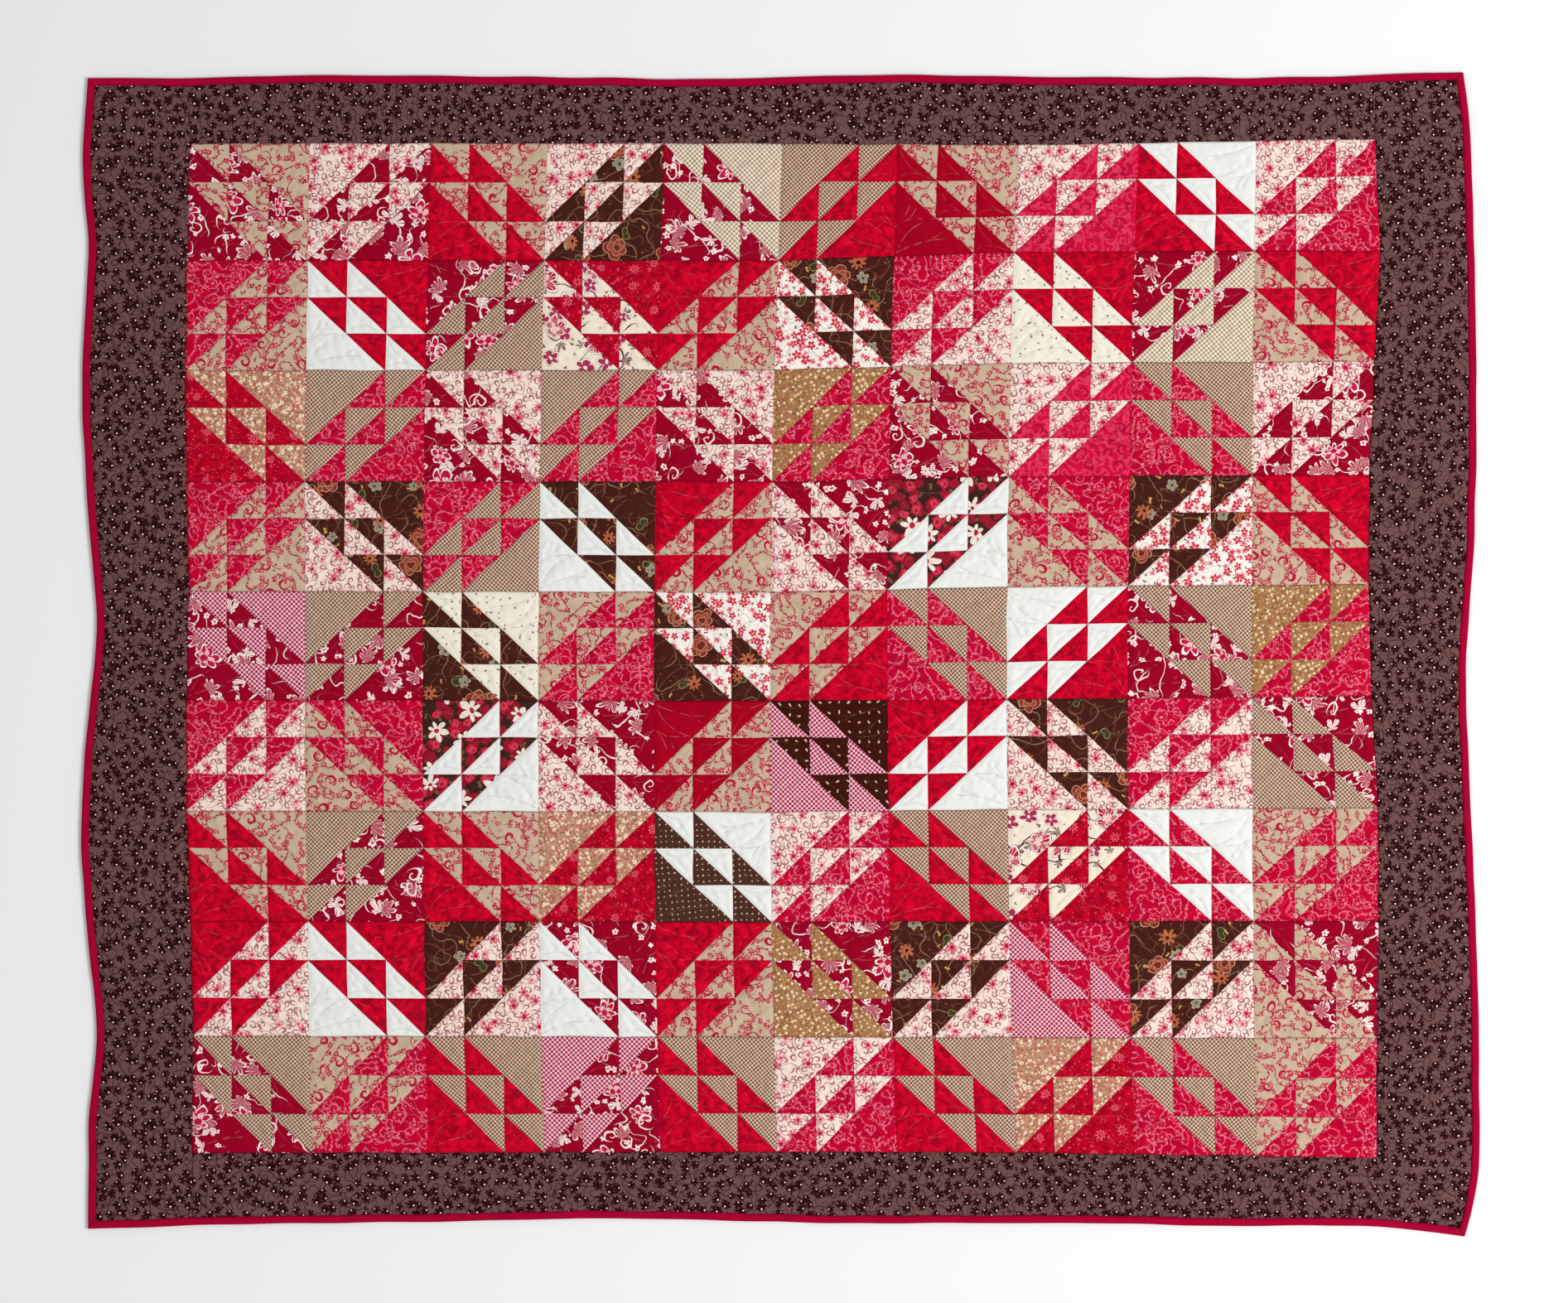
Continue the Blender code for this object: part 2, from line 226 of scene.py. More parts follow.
@dataclass(frozen=True)
class Ripple:
    """Uneven ripples: a sum of sine waves of about one length, in seeded directions and phases."""

    height: float
    length: float
    seed: int
    count: int = 14

    def at(self, x: np.ndarray, y: np.ndarray) -> np.ndarray:
        """How high the ripples stand.

        Args:
            x: places across, in mm.
            y: places up, in mm.

        Returns:
            About -1 to 1 times the ripples' height.
        """
        draw = np.random.default_rng(self.seed)
        total = np.zeros(np.broadcast(x, y).shape)
        for _ in range(self.count):
            turn = draw.uniform(0, 2 * np.pi)
            rate = 2 * np.pi / (self.length * draw.uniform(0.7, 1.5))
            total += np.sin((x * np.cos(turn) + y * np.sin(turn)) * rate + draw.uniform(0, 2 * np.pi))
        return self.height * total / np.sqrt(self.count)


SWAY_ACROSS = Ripple(0.45, 95, 11)
SWAY_UP = Ripple(0.45, 85, 12)


def sway(x: np.ndarray, y: np.ndarray) -> tuple[np.ndarray, np.ndarray]:
    """Small sideways drift of the cloth, under a millimetre, so that no seam is ruled straight."""
    return x + SWAY_ACROSS.at(x, y), y + SWAY_UP.at(x, y)


@dataclass(frozen=True)
class Arc:
    """Quilted line as a round arc through three points, in legs of a triangle."""

    start: tuple[float, float]
    middle: tuple[float, float]
    end: tuple[float, float]

    def circle(self) -> tuple[np.ndarray, float]:
        """Centre and radius of the circle through the three points.

        Returns:
            The centre in legs, and the radius.
        """
        a, b, c = (np.array(point) for point in (self.start, self.middle, self.end))
        system = 2 * np.array([b - a, c - a])
        centre = np.linalg.solve(system, np.array([b @ b - a @ a, c @ c - a @ a]))
        return centre, float(np.linalg.norm(centre - a))

    def chord(self) -> np.ndarray:
        """Direction from start to end, divided by the distance, so that a dot product runs 0 to 1."""
        reach = np.array(self.end) - np.array(self.start)
        return reach / (reach @ reach)

    def distance(self, p: np.ndarray, q: np.ndarray) -> np.ndarray:
        """Distance of points from the arc: how far they are off its circle, and past its ends.

        Args:
            p: places along the level leg, in legs.
            q: places along the upright leg, in legs.

        Returns:
            The distances, in legs.
        """
        centre, radius = self.circle()
        chord = self.chord()
        off = np.abs(np.hypot(p - centre[0], q - centre[1]) - radius)
        along = (p - self.start[0]) * chord[0] + (q - self.start[1]) * chord[1]
        past = np.clip(np.abs(along - 0.5) - 0.5, 0, None)
        return off + past


# Quilting: a fan of curved fronds in each large triangle, and two arcs in each small one
FAN = (
    Arc((0.02, 0.05), (0.30, 0.160), (0.65, 0.205)),
    Arc((0.30, 0.165), (0.46, 0.215), (0.60, 0.290)),
    Arc((0.05, 0.12), (0.235, 0.375), (0.49, 0.494)),
    Arc((0.41, 0.49), (0.28, 0.497), (0.15, 0.477)),
    Arc((0.04, 0.42), (0.175, 0.51), (0.255, 0.65)),
    Arc((0.0, 0.39), (0.106, 0.52), (0.17, 0.68)),
)
SMALL_ARCS = (
    Arc((0.05, 0.86), (0.30, 0.42), (0.86, 0.06)),
    Arc((0.06, 0.10), (0.32, 0.20), (0.70, 0.10)),
)


@dataclass(frozen=True)
class Motif:
    """One layer of a print: flowers, curls, vines or a check, drawn over what is under it.

    Sizes are in millimetres. pitch is the distance between motifs, size a flower's or curl's radius,
    thickness a line's width, share the part of the places that are filled, and scatter how far the
    places are from an even lattice, 0 to 1. A low point gives round petals, a high one thin ones, and
    a lopsided flower has its long petals on one side. leaf is the radius of the leaves along a vine.
    Layers with the same pitch, scatter and seed share their places, so flowers can be nested. along
    is the pitch and seed of a vine, and the motif then stays within its reach of that vine's stems.
    """

    draw: Draw
    pitch: float
    colour: str
    size: float = 0.0
    thickness: float = 1.0
    petals: float = 5.0
    notch: float = 0.45
    point: float = 0.8
    lopsided: float = 0.0
    heart: str = ""
    heart_size: float = 0.28
    rim: str = ""
    rim_width: float = 0.8
    vein: str = ""
    leaf: float = 0.0
    turns: float = 1.8
    share: float = 1.0
    scatter: float = 0.75
    seed: float = 0.0
    along: tuple[float, float] | None = None
    reach: float = 4.0


@dataclass(frozen=True)
class Print:
    """A printed cotton: its ground, how much the ground is mottled, and its motifs in order."""

    name: str
    ground: str
    motifs: tuple[Motif, ...] = ()
    mottle: float = 0.08
    mottle_to: str = ""
    mottle_scale: float = 22.0
    thread: str = "#e9b7b4"
    thread_strength: float = 0.42
    push: float = 4.0


BLOOM, CURL, VINE, CHECK = Draw.BLOOM, Draw.CURL, Draw.VINE, Draw.CHECK

PRINTS = {
    "R": Print("red_marble", "#d20229", (), 1.0, "#98001e", 10.0, "#dc7880", 0.38),
    "C": Print("plain_crimson", "#a4001e", (), 0.3, "#80001a", 30.0, "#df9a9f", 0.5),
    "J": Print("arabesque_crimson", "#960023", (
        Motif(VINE, 58, "#eed3cd", thickness=1.6, share=0.34, rim="#5a0a1c", rim_width=0.5, seed=3),
        Motif(BLOOM, 10, "#f6e6e0", size=4.4, petals=5, notch=0.55, heart="#c04a68", heart_size=0.34,
              share=0.22, along=(58, 3), reach=8.0, seed=8),
        Motif(BLOOM, 31, "#f6e8e2", size=15, petals=5, notch=0.86, point=0.7, lopsided=0.95,
              vein="#a3123a", rim="#4a0613", rim_width=0.5, share=0.3, seed=7),
        Motif(BLOOM, 38, "#f4e2dc", size=20, petals=9, notch=0.8, point=0.75, lopsided=0.92,
              rim="#4a0613", rim_width=0.6, share=0.55, seed=5),
        Motif(BLOOM, 38, "#a30d37", size=17.2, petals=9, notch=0.83, point=0.85, lopsided=0.92,
              vein="#dd9aa4", share=0.55, seed=5),
        Motif(BLOOM, 66, "#f4e2dc", size=21, petals=7, notch=0.5, lopsided=0.5, rim="#4a0613",
              share=0.5, seed=1),
        Motif(BLOOM, 66, "#bb1545", size=18.4, petals=7, notch=0.56, lopsided=0.53, share=0.5, seed=1),
        Motif(BLOOM, 66, "#f0cdca", size=12, petals=5, notch=0.7, lopsided=0.5, vein="#c02a50",
              heart="#b0103c", heart_size=0.34, share=0.5, seed=1),
        Motif(CURL, 34, "#f2dcd5", size=10, thickness=2.4, turns=1.2, share=0.25, seed=6),
    ), 0.3, "#7a001b", 30.0, "#de9aa6", 0.4, push=9.0),
    "T": Print("tan_sprig", "#c3ad94", (
        Motif(VINE, 38, "#a02a40", thickness=1.3, leaf=1.2, share=0.72, seed=2),
        Motif(CURL, 27, "#a81636", size=7.6, thickness=4.4, turns=0.95, rim="#d8a898", rim_width=0.5,
              share=0.62, seed=4),
        Motif(BLOOM, 8.5, "#a81236", size=4.9, petals=5, notch=0.75, point=1.0, lopsided=0.3,
              rim="#d8a096", rim_width=0.5, heart="#df8489", heart_size=0.28, share=0.68,
              along=(38, 2), reach=4.5, seed=7),
        Motif(BLOOM, 13, "#ae2844", size=3.2, petals=3, notch=0.8, point=1.1, lopsided=0.4, share=0.6,
              seed=6),
    ), 0.5, "#b19a80", 26.0, "#ddcbb2", 0.15, push=5.0),
    "E": Print("raspberry_line", "#c2022f", (
        Motif(VINE, 30, "#dd6c83", thickness=0.8, leaf=0.9, share=0.75, seed=2),
        Motif(CURL, 22, "#df7088", size=8.0, thickness=0.9, turns=1.5, share=0.5, seed=3),
        Motif(BLOOM, 27, "#e27f92", size=9.0, petals=7, notch=0.5, lopsided=0.3, share=0.65, seed=5),
        Motif(BLOOM, 27, "#b9032e", size=8.3, petals=7, notch=0.53, lopsided=0.33, heart="#dd6c83",
              heart_size=0.22, share=0.65, seed=5),
        Motif(BLOOM, 7, "#e67c91", size=1.7, petals=3, notch=0.8, share=0.5, along=(30, 2), reach=5.0,
              seed=9),
    ), 0.6, "#98022a", 18.0, "#f3b3b6", 0.34, push=5.0),
    "V": Print("cream_tendril", "#ecd8cd", (
        Motif(VINE, 26, "#b0747a", thickness=1.0, share=0.7, seed=2),
        Motif(CURL, 10, "#a05a5f", size=4.8, thickness=2.3, turns=0.95, share=0.95, seed=3),
        Motif(BLOOM, 29, "#e79aa2", size=7.2, petals=6, notch=0.76, point=1.0, lopsided=0.35,
              heart="#bb3f56", share=0.55, seed=8),
        Motif(BLOOM, 25, "#c93557", size=8.9, petals=7, notch=0.72, point=1.2, lopsided=0.4,
              rim="#f0c4c2", rim_width=0.5, vein="#e58795", heart="#a4163a", share=0.8, seed=5),
    ), 0.05, "#e3cdc0", 22.0, "#f2e6df", 0.08, push=5.0),
    # White muslin's thread is drawn grey: the real quilted line with its groove's shade painted in
    "W": Print("white_muslin", "#e4e5e0", (), 0.25, "#d9dbd7", 26.0, "#a8a9a6", 0.6),
    "K": Print("brown_check", "#d2b8a2", (
        Motif(CHECK, 2.8, "#6f4a39", thickness=0.5),
    ), 0.2, "#c2a58c", 30.0, "#e3d6bf", 0.08),
    "G": Print("sage_check", "#e8dcc8", (
        Motif(CHECK, 3.15, "#9f866e", thickness=0.4),
    ), 0.15, "#d0c0a8", 22.0, "#f0ead8", 0.08),
    "B": Print("brown_garden", "#441d16", (
        Motif(VINE, 60, "#8b6f50", thickness=1.0, share=0.6, seed=3),
        Motif(VINE, 43, "#7c4a34", thickness=0.8, share=0.6, seed=8),
        Motif(BLOOM, 15, "#94523e", size=1.5, petals=3, notch=0.6, share=0.35, seed=9),
        Motif(BLOOM, 31, "#c39253", size=4.8, petals=2, notch=0.86, point=1.4, lopsided=0.6,
              share=0.5, seed=6),
        Motif(BLOOM, 43, "#39381f", size=10, petals=2, notch=0.8, lopsided=0.5, rim="#a89a68",
              rim_width=0.7, share=0.45, seed=2),
        Motif(BLOOM, 47, "#777266", size=8.5, petals=5, notch=0.5, lopsided=0.3, rim="#c9b999",
              rim_width=0.7, vein="#b5a98e", heart="#5a4029", heart_size=0.24, share=0.35, seed=4),
        Motif(BLOOM, 54, "#a64a33", size=12, petals=8, notch=0.7, point=1.0, lopsided=0.3,
              vein="#d08a5c", heart="#2c120c", heart_size=0.2, share=0.45, seed=7),
        Motif(BLOOM, 66, "#7f3226", size=17, petals=5, notch=0.3, lopsided=0.35, rim="#dba583",
              share=0.5, seed=1),
        Motif(BLOOM, 66, "#93412f", size=11.5, petals=4, notch=0.4, lopsided=0.4, rim="#cf9674",
              rim_width=0.7, share=0.5, seed=1),
        Motif(BLOOM, 66, "#6c281d", size=6.2, petals=3, notch=0.3, lopsided=0.4, rim="#cf9674",
              rim_width=0.7, share=0.5, seed=1),
    ), 0.3, "#351510", 22.0, "#b39a84", 0.34, push=6.0),
    # Cream sprig's thread is drawn darker than its ground: the real quilted line with its groove's shade
    # painted in
    "S": Print("cream_sprig", "#e8e2d2", (
        Motif(BLOOM, 17, "#84505a", size=2.2, petals=3, notch=0.75, lopsided=0.4, scatter=0.7, seed=2),
        Motif(BLOOM, 14, "#8e8478", size=1.6, petals=2, notch=0.7, scatter=0.7, share=0.7, seed=5),
    ), 0.1, "#dad1bb", 26.0, "#c2b8a4", 0.5),
    "F": Print("posy_white", "#efe6dd", (
        Motif(VINE, 22, "#a5a292", thickness=0.8, share=0.7, seed=4),
        Motif(BLOOM, 8.5, "#66614f", size=2.2, petals=2, notch=0.8, point=1.5, share=0.4, seed=7),
        Motif(BLOOM, 10, "#e07b86", size=3.9, petals=5, notch=0.6, heart="#b92c46", share=0.6, seed=3),
        Motif(BLOOM, 15, "#c42a48", size=5.7, petals=5, notch=0.6, point=0.9, heart="#e79a86",
              share=0.85, seed=1),
    ), 0.05, "#ddd0c5", 22.0, "#f0e6e2", 0.08, push=3.0),
    "N": Print("golden_tiny", "#a5744d", (
        Motif(BLOOM, 6, "#7c5b35", size=2.1, petals=2, notch=0.7, share=0.6, seed=7),
        Motif(BLOOM, 13, "#944c34", size=2.6, petals=5, notch=0.5, share=0.45, seed=9),
        Motif(BLOOM, 7, "#e5cfac", size=2.1, petals=4, notch=0.5, share=0.6, seed=4),
        Motif(BLOOM, 5, "#c7a671", size=1.3, petals=2, notch=0.5, share=0.6, seed=3),
    ), 0.5, "#956746", 12.0, "#d9c49c", 0.15),
    "A": Print("tan_speckle", "#bb8c70", (
        Motif(BLOOM, 5.2, "#856a48", size=1.9, petals=2, notch=0.7, share=0.6, seed=6),
        Motif(BLOOM, 4.6, "#e9d3b2", size=1.9, petals=3, notch=0.6, share=0.5, seed=4),
        Motif(BLOOM, 7, "#bd585e", size=2.3, petals=4, notch=0.5, share=0.75, seed=2),
        Motif(BLOOM, 11, "#efdcc0", size=2.9, petals=5, notch=0.5, heart="#b9525a", share=0.5, seed=9),
    ), 0.4, "#a3765a", 10.0, "#e0cbb4", 0.1),
    "P": Print("pink_check", "#ecbcc6", (
        Motif(CHECK, 3.13, "#960737", thickness=0.5),
    ), 0.1, "#e0a4b3", 22.0, "#f6dadd", 0.08),
    "D": Print("espresso_dot", "#3b130b", (
        Motif(BLOOM, 13, "#d6bea2", size=2.0, petals=2, notch=0.9, scatter=0.12, seed=2),
    ), 0.15, "#2b0f08", 22.0, "#b39c88", 0.32),
    "D2": Print("brown_pin_dot", "#4a2b22", (
        Motif(BLOOM, 7.6, "#d4bfa8", size=1.15, petals=2, notch=0.45, scatter=0.0, seed=2),
    ), 0.1, "#3c2019", 22.0, "#a89382", 0.3),
    "M": Print("medallion_red", "#c00325", (
        Motif(BLOOM, 5.5, "#d8485f", size=0.9, petals=1, notch=0.0, share=0.35, seed=6),
        Motif(BLOOM, 15, "#d5445b", size=2.4, petals=4, notch=0.8, share=0.5, seed=9),
        Motif(BLOOM, 31, "#d85569", size=6.4, petals=8, notch=0.9, point=1.7, scatter=0.5, share=0.75,
              seed=2),
        Motif(BLOOM, 31, "#d9667a", size=3.6, petals=1, notch=0.0, scatter=0.5, share=0.75, seed=2),
        Motif(BLOOM, 31, "#b90222", size=2.8, petals=1, notch=0.0, heart="#d9667a", heart_size=0.4,
              scatter=0.5, share=0.75, seed=2),
    ), 1.0, "#94001d", 9.0, "#dc7078", 0.34),
    "L": Print("cream_garden", "#e8dcc8", (
        Motif(VINE, 56, "#57202a", thickness=2.0, share=0.45, seed=3),
        Motif(BLOOM, 13, "#8d4a56", size=2.4, petals=3, notch=0.8, share=0.3, seed=8),
        Motif(BLOOM, 24, "#421019", size=11, petals=7, notch=0.9, point=0.9, lopsided=0.9,
              vein="#e9cfc4", share=0.6, along=(56, 3), reach=11.0, seed=6),
        Motif(BLOOM, 27, "#f3e7dc", size=11.5, petals=5, notch=0.5, rim="#3a0d16", rim_width=0.5,
              share=0.5, seed=9),
        Motif(BLOOM, 27, "#94123a", size=10, petals=5, notch=0.6, vein="#c2547a", heart="#f0d6cc",
              heart_size=0.24, share=0.5, seed=9),
        Motif(BLOOM, 61, "#f3e7dc", size=23, petals=6, notch=0.5, lopsided=0.5, rim="#3a0d16",
              share=0.9, seed=2),
        Motif(BLOOM, 61, "#b3123c", size=20.8, petals=6, notch=0.56, lopsided=0.53, vein="#edb3b6",
              share=0.9, seed=2),
        Motif(BLOOM, 61, "#f0d9cf", size=11, petals=4, notch=0.5, lopsided=0.5, rim="#5a0f22",
              rim_width=0.6, vein="#c2274c", share=0.9, seed=2),
    ), 0.1, "#dccdb6", 26.0, "#f4ecdc", 0.08, push=8.0),
    "Q": Print("olive_rose", "#3c211b", (
        Motif(BLOOM, 13, "#6a5836", size=5.0, petals=2, notch=0.8, lopsided=0.4, share=0.5, seed=7),
        Motif(BLOOM, 17, "#8a0f25", size=9.5, petals=7, notch=0.3, lopsided=0.4, vein="#a82438",
              share=0.8, seed=4),
        Motif(BLOOM, 22, "#b81c38", size=10, petals=5, notch=0.3, lopsided=0.45, rim="#5b0d18",
              share=0.8, seed=3),
        Motif(BLOOM, 22, "#cf4456", size=6.6, petals=4, notch=0.4, lopsided=0.4, vein="#b0203a",
              heart="#8f0f2a", share=0.8, seed=3),
        Motif(BLOOM, 52, "#efe6dc", size=17, petals=6, notch=0.66, point=1.2, lopsided=0.4,
              rim="#54302a", rim_width=0.5, vein="#d4b9a8", heart="#b0223c", heart_size=0.2, share=0.9,
              seed=1),
    ), 0.2, "#2c1713", 22.0, "#b39a84", 0.3, push=6.0),
    "H": Print("raspberry_scroll", "#cc0c3b", (
        Motif(VINE, 24, "#d5315a", thickness=2.2, leaf=2.0, seed=2),
        Motif(CURL, 23, "#a90a35", size=9, thickness=3.8, turns=1.1, share=0.7, seed=4),
        Motif(BLOOM, 19, "#d43258", size=5.5, petals=3, notch=0.8, share=0.8, seed=6),
    ), 0.4, "#a4062f", 26.0, "#eaa0a8", 0.3),
    "border": Print("border_floral", "#6c4b4a", (
        Motif(VINE, 27, "#351d1e", thickness=1.2, share=1.0, seed=2),
        Motif(VINE, 21, "#45292a", thickness=0.9, share=0.8, seed=9),
        Motif(BLOOM, 14.3, "#27060a", size=9.2, petals=8, notch=0.6, point=0.65, lopsided=0.72,
              heart="#ecd9cf", heart_size=0.11, scatter=0.6, seed=4),
        Motif(BLOOM, 11, "#381416", size=3.0, petals=2, notch=0.8, point=1.3, share=0.4, seed=7),
    ), 0.5, "#624541", 40.0, push=3.0),
    "binding": Print("binding_crimson", "#a40230", (), 0.3, "#870228", 24.0),
    "backing": Print("backing_cream", "#e9e1d3", (), 0.1, "#dacfbd", 40.0),
}

# Cloths that no quilted line is drawn on
UNQUILTED = ("border", "binding", "backing")

# Cloth of each block as light/dark, row by row from the top left
BLOCK_CLOTHS = (
    "T/J V/J T/R V/B G/J K/R T/C V/H W/R V/E",
    "T/E W/R K/J L/M T/R F/B V/E S/R G/J T/R",
    "A/M K/E V/J K/E V/J N/E T/J V/H K/E V/J",
    "T/E V/B K/E W/B T/R V/J W/Q T/E F/B T/R",
    "P/J K/J S/B T/E F/B T/R K/E W/R K/J N/E",
    "V/E T/E W/Q V/J T/C P/D W/R V/B V/E K/J",
    "T/R K/J T/R A/M W/D2 V/E K/R L/M W/E T/E",
    "V/R W/R V/B W/J T/R N/J V/B P/E V/B T/J",
    "K/J T/E K/R P/J K/R V/E K/R A/M K/E T/E",
)


def linear(colour: str) -> tuple[float, float, float, float]:
    """Linear light from a #rrggbb colour, by the usual screen curve.

    Args:
        colour: the colour as it looks on a screen.

    Returns:
        Red, green, blue and a full alpha.
    """
    parts = [int(colour[k:k + 2], 16) / 255 for k in (1, 3, 5)]
    light = [c / 12.92 if c <= 0.04045 else ((c + 0.055) / 1.055) ** 2.4 for c in parts]
    return (*light, 1.0)


Socket = bpy.types.NodeSocket
Link = bpy.types.NodeSocket | float | tuple


class Bench:
    """Adds shader nodes to one tree and joins them, with sockets and plain values used alike."""

    def __init__(self, tree: bpy.types.NodeTree) -> None:
        """Work on a material's tree or a node group."""
        self.tree = tree

    def put(self, socket: Socket, value: Link) -> None:
        """Fill one socket.

        Args:
            socket: the socket.
            value: a socket to join it to, or a plain value for it.
        """
        if isinstance(value, bpy.types.NodeSocket):
            self.tree.links.new(value, socket)
        else:
            socket.default_value = value

    def fill(self, sockets: Mapping[str, Socket], **values: Link) -> None:
        """Fill sockets by name, an underscore standing for a space."""
        for name, value in values.items():
            self.put(sockets[name.replace("_", " ")], value)

    def add(self, kind: str, *values: Link, **settings: object) -> bpy.types.Node:
        """New node.

        Args:
            kind: the node's type.
            values: what goes into its first sockets, in order.
            settings: its properties.

        Returns:
            The node.
        """
        node = self.tree.nodes.new(kind)
        for name, value in settings.items():
            setattr(node, name, value)
        for index, value in enumerate(values):
            self.put(node.inputs[index], value)
        return node

    def group(self, tree: bpy.types.NodeTree, **values: Link) -> bpy.types.Node:
        """Node group with its sockets filled by name.

        Args:
            tree: the group that the node holds.
            values: what goes into its sockets, by name.

        Returns:
            The node.
        """
        node = self.add("ShaderNodeGroup", node_tree=tree)
        self.fill(node.inputs, **values)
        return node

    def maths(self, operation: str, *values: Link, clamp: bool = False) -> Socket:
        """Result of a Math node."""
        return self.add("ShaderNodeMath", *values, operation=operation, use_clamp=clamp).outputs[0]

    def product(self, value: Link, *others: Link) -> Socket:
        """Product of two or more numbers."""
        for other in others:
            value = self.maths("MULTIPLY", value, other)
        return value

    def vector(self, operation: str, *values: Link) -> Socket:
        """Result of a Vector Math node."""
        node = self.add("ShaderNodeVectorMath", *values, operation=operation)
        return node.outputs["Value" if operation in ("LENGTH", "DOT_PRODUCT") else "Vector"]

    def scaled(self, vector: Link, factor: Link) -> Socket:
        """A vector times a number.

        Args:
            vector: the vector.
            factor: what it is multiplied by.

        Returns:
            The product.
        """
        node = self.add("ShaderNodeVectorMath", vector, operation="SCALE")
        self.fill(node.inputs, Scale=factor)
        return node.outputs["Vector"]

    def shrunk(self, vector: Link, length: Link, times: float = 1.0) -> Socket:
        """A vector counted in lengths instead of millimetres, some number of times over."""
        return self.scaled(vector, self.maths("DIVIDE", times, length))

    def turned(self, vector: Link, angle: Link) -> Socket:
        """A vector turned about the upright axis.

        Args:
            vector: the vector.
            angle: how far it turns, in radians.

        Returns:
            The turned vector.
        """
        node = self.add("ShaderNodeVectorRotate", rotation_type="Z_AXIS")
        self.fill(node.inputs, Vector=vector, Angle=angle)
        return node.outputs[0]

    def point(self, *values: Link) -> Socket:
        """Vector with the numbers given, and zeros for the rest."""
        return self.add("ShaderNodeCombineXYZ", *values).outputs[0]

    def split(self, vector: Link) -> tuple[Socket, Socket]:
        """The first two numbers of a vector."""
        outputs = self.add("ShaderNodeSeparateXYZ", vector).outputs
        return outputs[0], outputs[1]

    def polar(self, offset: Link, turn: Link) -> tuple[Socket, Socket]:
        """Where a point lies round the middle of a motif.

        Args:
            offset: the point, from the motif's middle.
            turn: how far the motif is turned, 0 to 1.

        Returns:
            The distance from the middle, and the angle round it.
        """
        x, y = self.split(offset)
        angle = self.maths("MULTIPLY_ADD", turn, 2 * np.pi, self.maths("ARCTAN2", y, x))
        return self.vector("LENGTH", offset), angle

    def noise(self, place: Link, detail: float = 0.0, scale: float = 1.0, distortion: float = 0.0,
              centred: bool = False) -> bpy.types.Node:
        """Smooth noise over a plane.

        Args:
            place: where it is read.
            detail: how much finer noise is added.
            scale: bumps in a unit of place.
            distortion: how far it is swirled.
            centred: runs from about -1 to 1, and otherwise from 0 to 1.

        Returns:
            The node, with the noise as a value and as a colour.
        """
        node = self.add("ShaderNodeTexNoise", noise_dimensions="2D", normalize=not centred)
        self.fill(node.inputs, Vector=place, Scale=scale, Detail=detail, Distortion=distortion)
        return node

    def cells(self, place: Link, scatter: Link) -> bpy.types.Node:
        """Nearest of points scattered over a plane, one in each unit square.

        Args:
            place: where it is read.
            scatter: how far the points stray from a lattice, 0 to 1.

        Returns:
            The node, with the nearest point's distance, colour and place.
        """
        node = self.add("ShaderNodeTexVoronoi", voronoi_dimensions="2D")
        self.fill(node.inputs, Vector=place, Scale=1.0, Randomness=scatter)
        return node

    def edge(self, inside: Link, softness: float = 0.35) -> Socket:
        """Soft mask that is 1 where a distance inside an edge is positive, over a soft width in mm."""
        return self.maths("MULTIPLY_ADD", inside, 1 / softness, 0.5, clamp=True)

    def mix(self, factor: Link, under: Link, over: Link, blend: str = "MIX") -> Socket:
        """Colour that goes from one to another.

        Args:
            factor: how far it goes, 0 to 1.
            under: the colour at 0.
            over: the colour at 1, or what the first one is multiplied by.
            blend: MIX, or MULTIPLY to shade the first colour with the second.

        Returns:
            The mixed colour.
        """
        node = self.add("ShaderNodeMix", data_type="RGBA", blend_type=blend)
        for index, value in ((0, factor), (6, under), (7, over)):
            self.put(node.inputs[index], value)
        return node.outputs[2]


FLOAT, VECTOR, COLOUR = "NodeSocketFloat", "NodeSocketVector", "NodeSocketColor"


